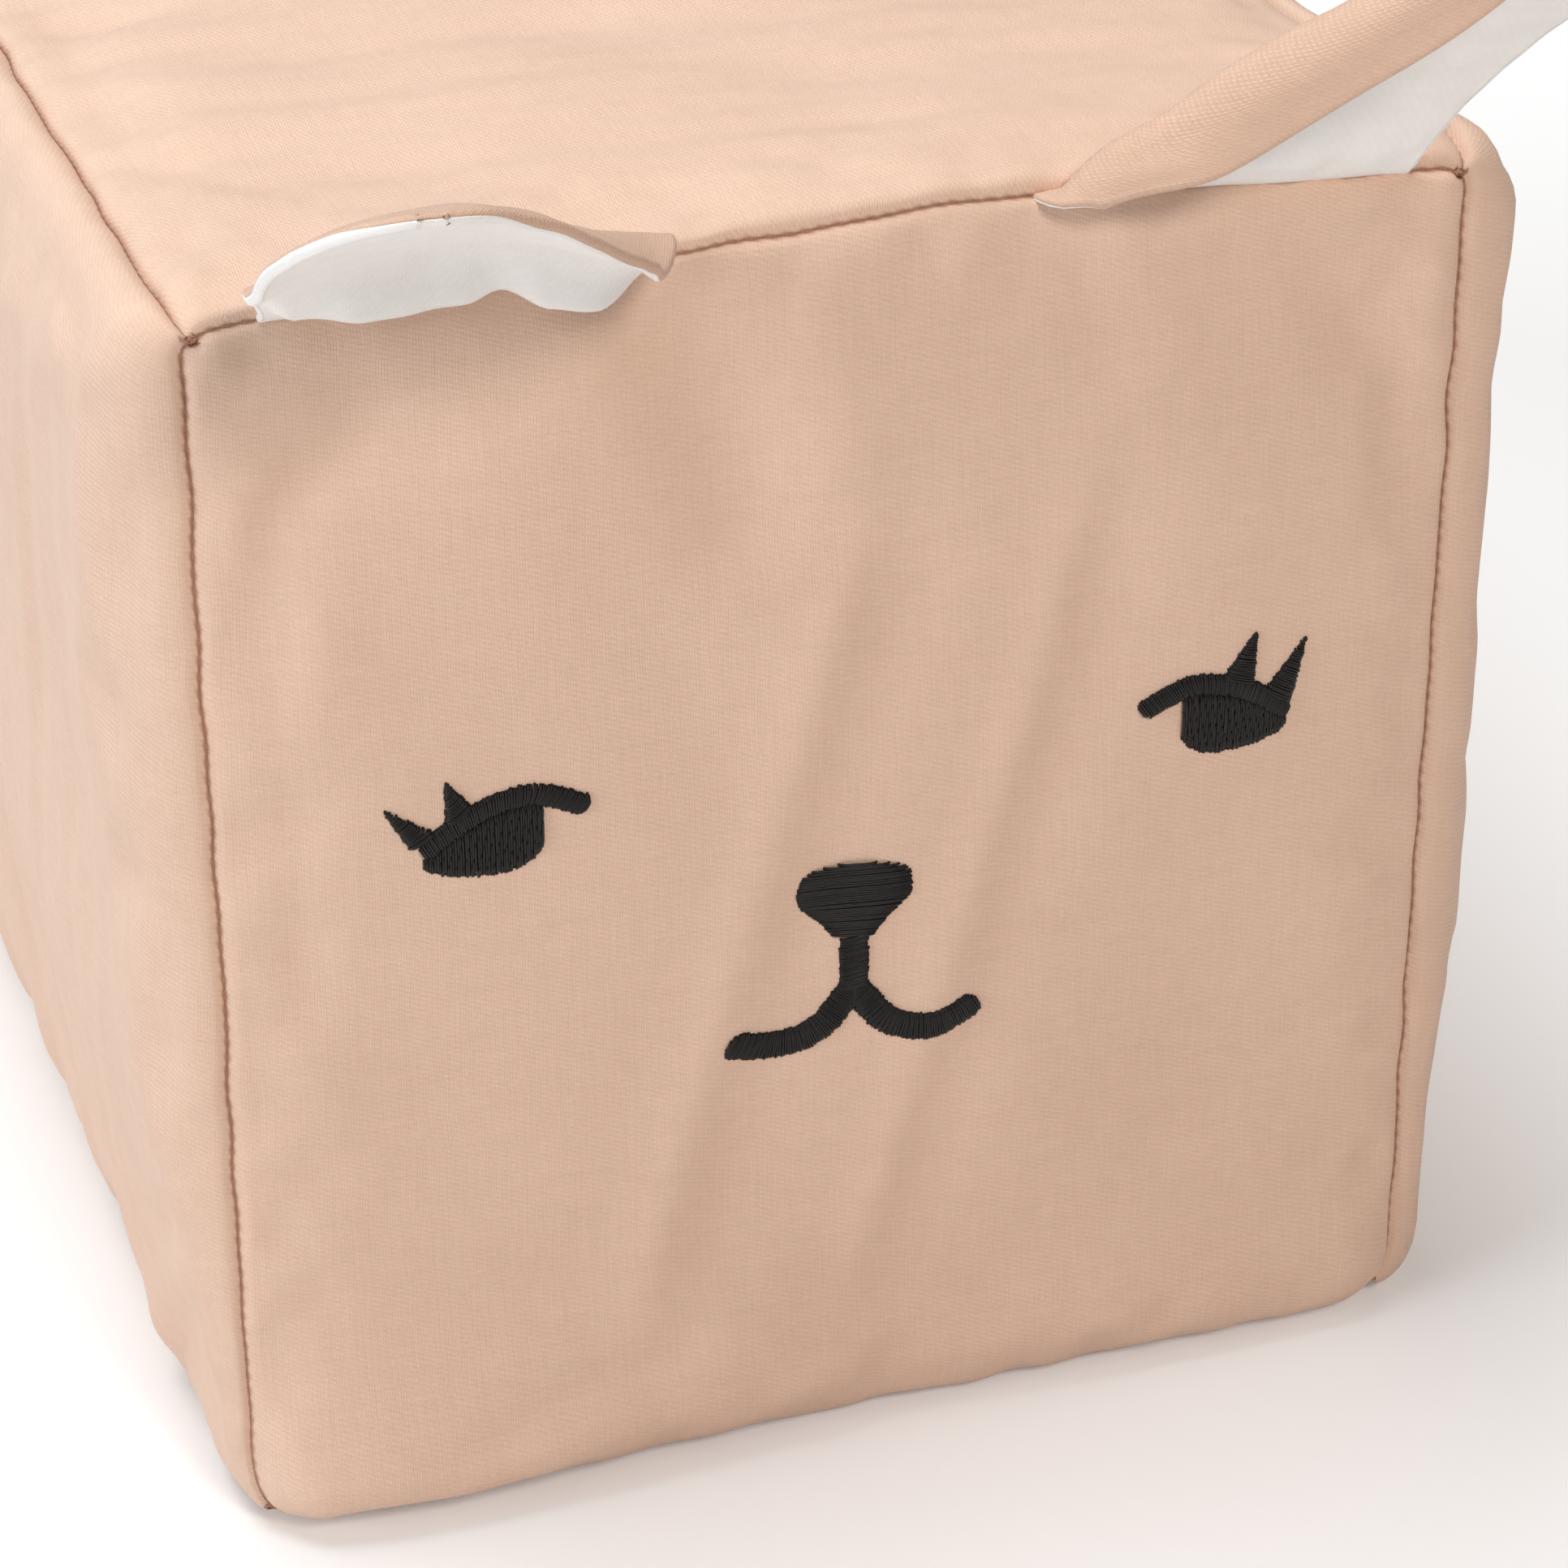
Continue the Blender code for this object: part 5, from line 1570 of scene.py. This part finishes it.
def ear_layers(ear, settings):
    """The outer cloth and the lining of an ear as grids of places, with their flat places."""
    length = ear["length"]
    root = -np.array(EAR_ROOT_ROWS) / length
    rows = np.concatenate([root, np.sin(np.linspace(0, math.asin(EAR_END), settings.rows))])
    first = len(root) + 4
    s, a = np.meshgrid(rows, np.linspace(-1, 1, settings.columns), indexing="ij")
    middle, half = ear_surface(ear, s, a)
    down, over = np.gradient(middle, axis=0), np.gradient(middle, axis=1)
    normal = ear_normals(ear, middle, down, over, first)
    middle = middle + normal * ear_folds(ear, s, a, half)[..., None]
    from_rim = np.minimum(half * (1 - np.abs(a)), (1 - s) * length)
    thick = part_way(EAR_RIM_HALF_THICK, EAR_HALF_THICK, smooth(from_rim / EAR_RIM_FADE))
    at_root = smooth((s * length + EAR_ROOT_ROWS[0]) / EAR_ROOT_FADE)
    thick = part_way(EAR_ROOT_HALF_THICK, thick, at_root)
    aside = ear_asides(down, over, normal, first)

    def rim(edge, layer):
        """The places and the flat places of the rows that turn round an edge, from the seam inwards."""
        column = -edge
        seam = part_way(ear["seam_turns"][edge], EAR_TIP_SEAM_TURN, smooth(rows / 0.1 - 9))
        turns = [part_way(seam, EAR_RIM_TURNS[layer], share) for share in np.linspace(0, 1, EAR_RIM_POINTS)]
        places, us = [], []
        for turn in turns:
            angle = np.radians(turn)
            way = aside[edge] * np.sin(angle)[:, None] - normal[:, column] * np.cos(angle)[:, None]
            places.append(middle[:, column] + way * thick[:, column][:, None])
            over_rim = (1 if edge else -1) * EAR_RIM_HALF_THICK * angle
            us.append(a[:, column] * half[:, column] + over_rim)
        return places, us, [turn[-1] for turn in turns]

    swell = {"outer": 0.0 * s, "lining": ear_swell(ear, s, a)}
    layers = {}
    for layer, way in (("outer", -1), ("lining", 1)):
        (inner, inner_us, inner_turns), (outer, outer_us, outer_turns) = rim(0, layer), rim(1, layer)
        face = middle + normal * (way * thick + swell[layer])[..., None]
        face[..., 2] -= EAR_SWELL_DROP * swell[layer]
        grid = np.stack(inner + list(np.moveaxis(face, 1, 0)) + outer[::-1], 1)
        u = np.stack(inner_us + list((a * half).T) + outer_us[::-1], 1)
        v = np.repeat((s * length)[:, :1], grid.shape[1], axis=1)
        face_turn = 0.0 if layer == "outer" else 180.0
        turns = np.array(inner_turns + [face_turn] * settings.columns + outer_turns[::-1])
        centre = np.pad(middle[-1], ((EAR_RIM_POINTS, EAR_RIM_POINTS), (0, 0)), "edge")
        for share in EAR_TIP_SHARES:
            late = np.radians(part_way(turns, EAR_TIP_SEAM_TURN, share))[:, None]
            row = centre + (aside[0][-1] * np.sin(late) - normal[-1, 0] * np.cos(late)) * thick[-1, 0]
            grid = np.concatenate([grid, row[None]])
            u = np.concatenate([u, u[-1:]])
            v = np.concatenate([v, v[-1:] + EAR_TIP_ROW])
        layers[layer] = (grid, u, v)
    return layers, middle, normal, thick


class FABRIC_OT_ears(bpy.types.Operator):
    """Sews both ears: outer cloth, wadding and lining, turned out and set into the top seam"""

    bl_idname = "fabric_block.ears"
    bl_label = "Ears"

    def execute(self, context):
        cloth = context.scene.fabric_cloth
        finishes = {
            # The ears' outer cotton is darker than the cover's: painted shade on the ears
            "outer": cotton("Ear cotton", cloth.shaded_ear_colour, cloth.rib, cloth.thread, 22, 0.00013, 0.18),
            "lining": cotton("White cotton", cloth.lining, 0.0011, 0.00042, 45, 0.00006, 0.05),
        }
        wadding_finish = foam_finish("Wadding", (0.80, 0.78, 0.75))
        for name, ear in EARS.items():
            layers, middle, normal, thick = ear_layers(ear, context.scene.fabric_ears)
            for layer, slot in (("outer", "ear_cotton"), ("lining", "white_cotton")):
                grid, u, v = layers[layer]
                if (ear["side"] > 0) == (layer == "outer"):
                    grid, u, v = grid[:, ::-1], u[:, ::-1], v[:, ::-1]
                sheet = sheet_mesh(f"{name}_ear_{layer}_cloth", grid, u, v, finishes[layer])
                thicken(sheet, EAR_CLOTH)
                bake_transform(sheet)
                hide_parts(f"{name}_ear_{layer}")
            self.fill(name, middle, normal, thick, wadding_finish)
        return {"FINISHED"}

    def fill(self, name, middle, normal, thick, finish):
        """The wadding between an ear's two cloths."""
        inner = slice(6, round(normal.shape[0] * FILL_SHARE)), slice(4, -4)
        centre, way = middle[inner], normal[inner]
        half = np.maximum(thick[inner] - EAR_CLOTH - FILL_CLEARANCE, FILL_LEAST)[..., None]
        half[[0, -1]] = half[:, [0, -1]] = FILL_RIM
        near, far = centre - way * half, centre + way * half
        ids = grid_ids(*centre.shape[:2])
        quads = grid_quads(ids)
        rim = np.concatenate([ids[0, :-1], ids[:-1, -1], ids[-1, :0:-1], ids[:0:-1, 0]])
        after = np.roll(rim, -1)
        walls = np.stack([after, rim, rim + ids.size, after + ids.size], -1)
        faces = np.concatenate([quads, quads[:, ::-1] + ids.size, walls])
        points = np.concatenate([near.reshape(-1, 3), far.reshape(-1, 3)])
        mesh = new_mesh(name + "_ear_fill", points.tolist(), [], faces.tolist())
        faced_out(mesh)
        mesh.shade_smooth()
        mesh.materials.append(finish)
        filling = new_object(name + "_ear_fill", mesh)
        place(filling, name + "_ear", "wadding", name + "_ear_wadding")


def faced_out(mesh, merge=False):
    """Turns a closed mesh's faces outwards, after merging its doubled points and flat faces if asked."""
    shell = bmesh.new()
    shell.from_mesh(mesh)
    if merge:
        bmesh.ops.remove_doubles(shell, verts=shell.verts, dist=0.00001)
        bmesh.ops.dissolve_limit(shell, angle_limit=math.radians(2), verts=shell.verts, edges=shell.edges)
    bmesh.ops.recalc_face_normals(shell, faces=shell.faces)
    shell.to_mesh(mesh)
    shell.free()


# Zip

COIL_THREAD = 0.00062
COIL_CLEARANCE = 0.0003
COIL_STEP_SHARE = 0.42
TAPE_STEP = 0.002
# Waves of the tape: height, length, and the run from the coil that they start over
TAPE_WAVES = (0.00005, 0.004, 0.004)


class FABRIC_OT_zip(bpy.types.Operator):
    """Makes the zip low on the back: tapes, coils, stops, slider and pull"""

    bl_idname = "fabric_block.zip"
    bl_label = "Zip"

    def execute(self, context):
        settings = context.scene.fabric_zip
        tape_colour = (0.55, 0.36, 0.25)
        tape_finish = cotton("Zip tape", tape_colour, 0.0009, 0.0004, 90, 0.00008)
        metal = metal_finish()
        tree, identifiers = strand_tree(plastic_finish(tape_colour))
        for name, side in (("upper", 1), ("lower", -1)):
            low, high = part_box(f"zip_{name}_tape")
            self.tape(f"zip_{name}_tape", low, high, tape_finish)
            low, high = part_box(f"zip_{name}_teeth")
            lines = self.coil_lines(low, high, side, settings.pitch)
            coil = run_tree(f"zip_{name}_coil", lines, tree, identifiers, {"Thickness": COIL_THREAD})
            place(coil, "block", "zip_teeth", f"zip_{name}_teeth")
        for node, body in (
            ("zip_open_stop", "block"), ("zip_closed_stop", "block"),
            ("zip_slider", "zip_slider"), ("zip_pull", "zip_pull"),
        ):
            self.bevelled(node, body, metal, settings.bevel)
        return {"FINISHED"}

    def tape(self, node, low, high, finish):
        us = np.linspace(low.x, high.x, len(np.arange(low.x, high.x + 0.001, TAPE_STEP)))[::-1]
        u, v = np.meshgrid(us, np.linspace(low.z, high.z, 8))
        surface = np.stack([u, np.full(u.shape, high.y), v], -1)
        rise, long, start = TAPE_WAVES
        surface[..., 1] += rise * waves(u[..., None], long, 91) * smooth(np.abs(v - ZIP_HEIGHT) / start)
        tape = sheet_mesh(node + "_cloth", surface, u, v, finish)
        thicken(tape, high.y - low.y)
        place(tape, "block", "zip_tape", node)

    def coil_lines(self, low, high, side, pitch):
        """The loops of one coil. The upper coil's lie between the lower one's."""
        count = round((high.x - low.x) / pitch)
        step = (high.x - low.x) / count
        middle = (low + high) / 2
        reach = (high - low) / 2
        upper = side > 0
        lines = []
        for number in range(count - upper):
            x = low.x + step * (number + 0.5 + 0.5 * upper)
            lines.append([
                (
                    x + step * COIL_STEP_SHARE * math.sin(turn / 2),
                    middle.y + math.sin(turn) * (reach.y - COIL_CLEARANCE),
                    middle.z - side * math.cos(turn) * reach.z,
                )
                for turn in np.linspace(0, 2 * math.pi, 11)
            ])
        return lines

    def bevelled(self, node, body, finish, width):
        """A copy of a frame's metal piece with its doubled points merged and its edges rounded."""
        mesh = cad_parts[node].data.copy()
        mesh.name = node + "_metal"
        faced_out(mesh, merge=True)
        mesh.materials.clear()
        mesh.materials.append(finish)
        piece = new_object(node + "_metal", mesh)
        change = piece.modifiers.new("Rounded edges", "BEVEL")
        change.width = width
        change.segments = 3
        change.limit_method = "ANGLE"
        change.harden_normals = True
        mesh.shade_smooth()
        place(piece, body, "zip_metal", node)


# Stage

CAMERA_PLACE = (-0.2007, -0.6809, 0.4100)
CAMERA_FORWARD = (0.296, 0.833, -0.467)
CAMERA_RIGHT = (0.942, -0.335, 0.001)
CAMERA_LENS = 107.1
SKY_COLOUR = (1.0, 0.90, 0.82, 1)
WHITE = (1, 1, 1, 1)
# The floor's glow: the distances that it brightens between, then its strengths there
FLOOR_GLOW = (0.35, 1.6, 0.16, 1.0)
# Each lamp's setting, place, size and colour
LAMPS = {
    "top": ((-0.5, 0.3, 2.0), 1.6, (0.96, 1.0, 1.03)),
    "left": ((-1.95, -0.55, 0.70), 1.1, (0.91, 1.0, 1.09)),
    "front": ((0.20, -1.70, 1.45), 0.5, (1.0, 0.92, 0.86)),
}


class StageSettings(bpy.types.PropertyGroup):
    floor: measure("Floor", "Width of the floor", 8.0)
    sky: amount("Sky", "Strength of the light from all sides", 0.13)
    top: amount("Top lamp", "Power of the lamp over the block", 33.0)
    left: amount("Left lamp", "Power of the lamp on the left", 17.0)
    front: amount("Front lamp", "Power of the lamp in front", 16.0)


class FABRIC_OT_stage(bpy.types.Operator):
    """Sets the pale floor, the soft lamps and the camera"""

    bl_idname = "fabric_block.stage"
    bl_label = "Stage"

    def execute(self, context):
        settings = context.scene.fabric_stage
        self.floor(settings.floor / 2)
        self.sky(context.scene, settings.sky)
        for name, (spot, size, colour) in LAMPS.items():
            self.lamp(name.title() + " lamp", spot, size, getattr(settings, name), colour)
        self.camera(context.scene)
        context.scene.view_settings.view_transform = "Standard"
        return {"FINISHED"}

    def floor(self, half):
        """A pale floor that shows white far off and keeps the block's shadow."""
        corners = [(-half, -half, 0), (half, -half, 0), (half, half, 0), (-half, half, 0)]
        material, tree, shader = new_material("Floor", base_color=(0.86, 0.855, 0.85, 1), roughness=0.9)
        path = add(tree, "ShaderNodeLightPath").outputs
        seen = maths(tree, "MAXIMUM", path["Is Camera Ray"], path["Is Glossy Ray"])
        seen = maths(tree, "MAXIMUM", seen, path["Is Transmission Ray"])
        far = vector_maths(tree, "LENGTH", {0: object_place(tree)}, "Value")
        bright = add(tree, "ShaderNodeMapRange", {0: far, **dict(enumerate(FLOOR_GLOW, 1))}).outputs[0]
        glow = add(tree, "ShaderNodeEmission", {"Color": WHITE, "Strength": bright}).outputs[0]
        dark = add(tree, "ShaderNodeEmission", {"Color": (0, 0, 0, 1), "Strength": 0.0}).outputs[0]
        shown = add(tree, "ShaderNodeMixShader", {0: seen, 1: dark, 2: glow}).outputs[0]
        both = add(tree, "ShaderNodeAddShader", {0: shader.outputs[0], 1: shown}).outputs[0]
        feed(tree, tree.nodes["Material Output"], {"Surface": both})
        mesh = new_mesh("floor", corners, [], [(0, 1, 2, 3)])
        mesh.materials.append(material)
        floor = new_object("floor", mesh)

    def sky(self, scene, strength):
        """Soft light from all sides, which shows white."""
        scene.world = bpy.data.worlds.new("Studio")
        scene.world.use_nodes = True
        tree = scene.world.node_tree
        path = add(tree, "ShaderNodeLightPath").outputs
        seen = maths(tree, "MAXIMUM", path["Is Camera Ray"], path["Is Transmission Ray"])
        back = feed(tree, tree.nodes["Background"], {"Color": SKY_COLOUR, "Strength": strength}).outputs[0]
        white = add(tree, "ShaderNodeBackground", {"Color": WHITE, "Strength": 1.0}).outputs[0]
        shown = add(tree, "ShaderNodeMixShader", {0: seen, 1: back, 2: white}).outputs[0]
        feed(tree, tree.nodes["World Output"], {"Surface": shown})

    def lamp(self, name, spot, size, power, colour):
        light = bpy.data.lights.new(name, "AREA")
        light.color = colour
        light.shape = "DISK"
        light.size = size
        light.energy = power
        obj = new_object(name, light)
        obj.location = spot
        way = Vector((0.0, 0.0, HEIGHT / 2)) - Vector(spot)
        obj.rotation_euler = way.to_track_quat("-Z", "Y").to_euler()

    def camera(self, scene):
        """The camera at the place and angle that the photograph was taken from."""
        lens = bpy.data.cameras.new("Camera")
        lens.lens = CAMERA_LENS
        lens.sensor_width = 36
        forward = Vector(CAMERA_FORWARD).normalized()
        right = Vector(CAMERA_RIGHT)
        right = (right - forward * right.dot(forward)).normalized()
        obj = new_object("Camera", lens)
        obj.location = CAMERA_PLACE
        turn = Matrix((right, right.cross(forward), -forward)).transposed()
        obj.rotation_euler = turn.to_euler()
        scene.camera = obj


class FABRIC_PT_block(bpy.types.Panel):
    """Lists the block's settings and pieces"""

    bl_label = "Fabric Block"
    bl_space_type = "VIEW_3D"
    bl_region_type = "UI"
    bl_category = "Fabric Block"

    def draw(self, context):
        for name in SETTINGS:
            settings = getattr(context.scene, name)
            box = self.layout.box()
            box.label(text=name.replace("fabric_", "").title())
            for key in type(settings).__annotations__:
                box.prop(settings, key)
        for operator in OPERATORS:
            self.layout.operator(operator.bl_idname)


SETTINGS = {
    "fabric_cloth": ClothSettings,
    "fabric_seams": SeamSettings,
    "fabric_embroidery": EmbroiderySettings,
    "fabric_ears": EarSettings,
    "fabric_zip": ZipSettings,
    "fabric_stage": StageSettings,
}
OPERATORS = (
    FABRIC_OT_foam,
    FABRIC_OT_cover,
    FABRIC_OT_stitches,
    FABRIC_OT_embroidery,
    FABRIC_OT_ears,
    FABRIC_OT_zip,
    FABRIC_OT_stage,
)


def register():
    for name, settings in SETTINGS.items():
        bpy.utils.register_class(settings)
        setattr(bpy.types.Scene, name, PointerProperty(type=settings))
    for kind in OPERATORS + (FABRIC_PT_block,):
        bpy.utils.register_class(kind)


def unregister():
    for kind in reversed(OPERATORS + (FABRIC_PT_block,)):
        bpy.utils.unregister_class(kind)
    for name, settings in SETTINGS.items():
        delattr(bpy.types.Scene, name)
        bpy.utils.unregister_class(settings)


def main():
    register()
    for operator in OPERATORS:
        family, name = operator.bl_idname.split(".")
        getattr(getattr(bpy.ops, family), name)()


if __name__ == "__main__":
    main()
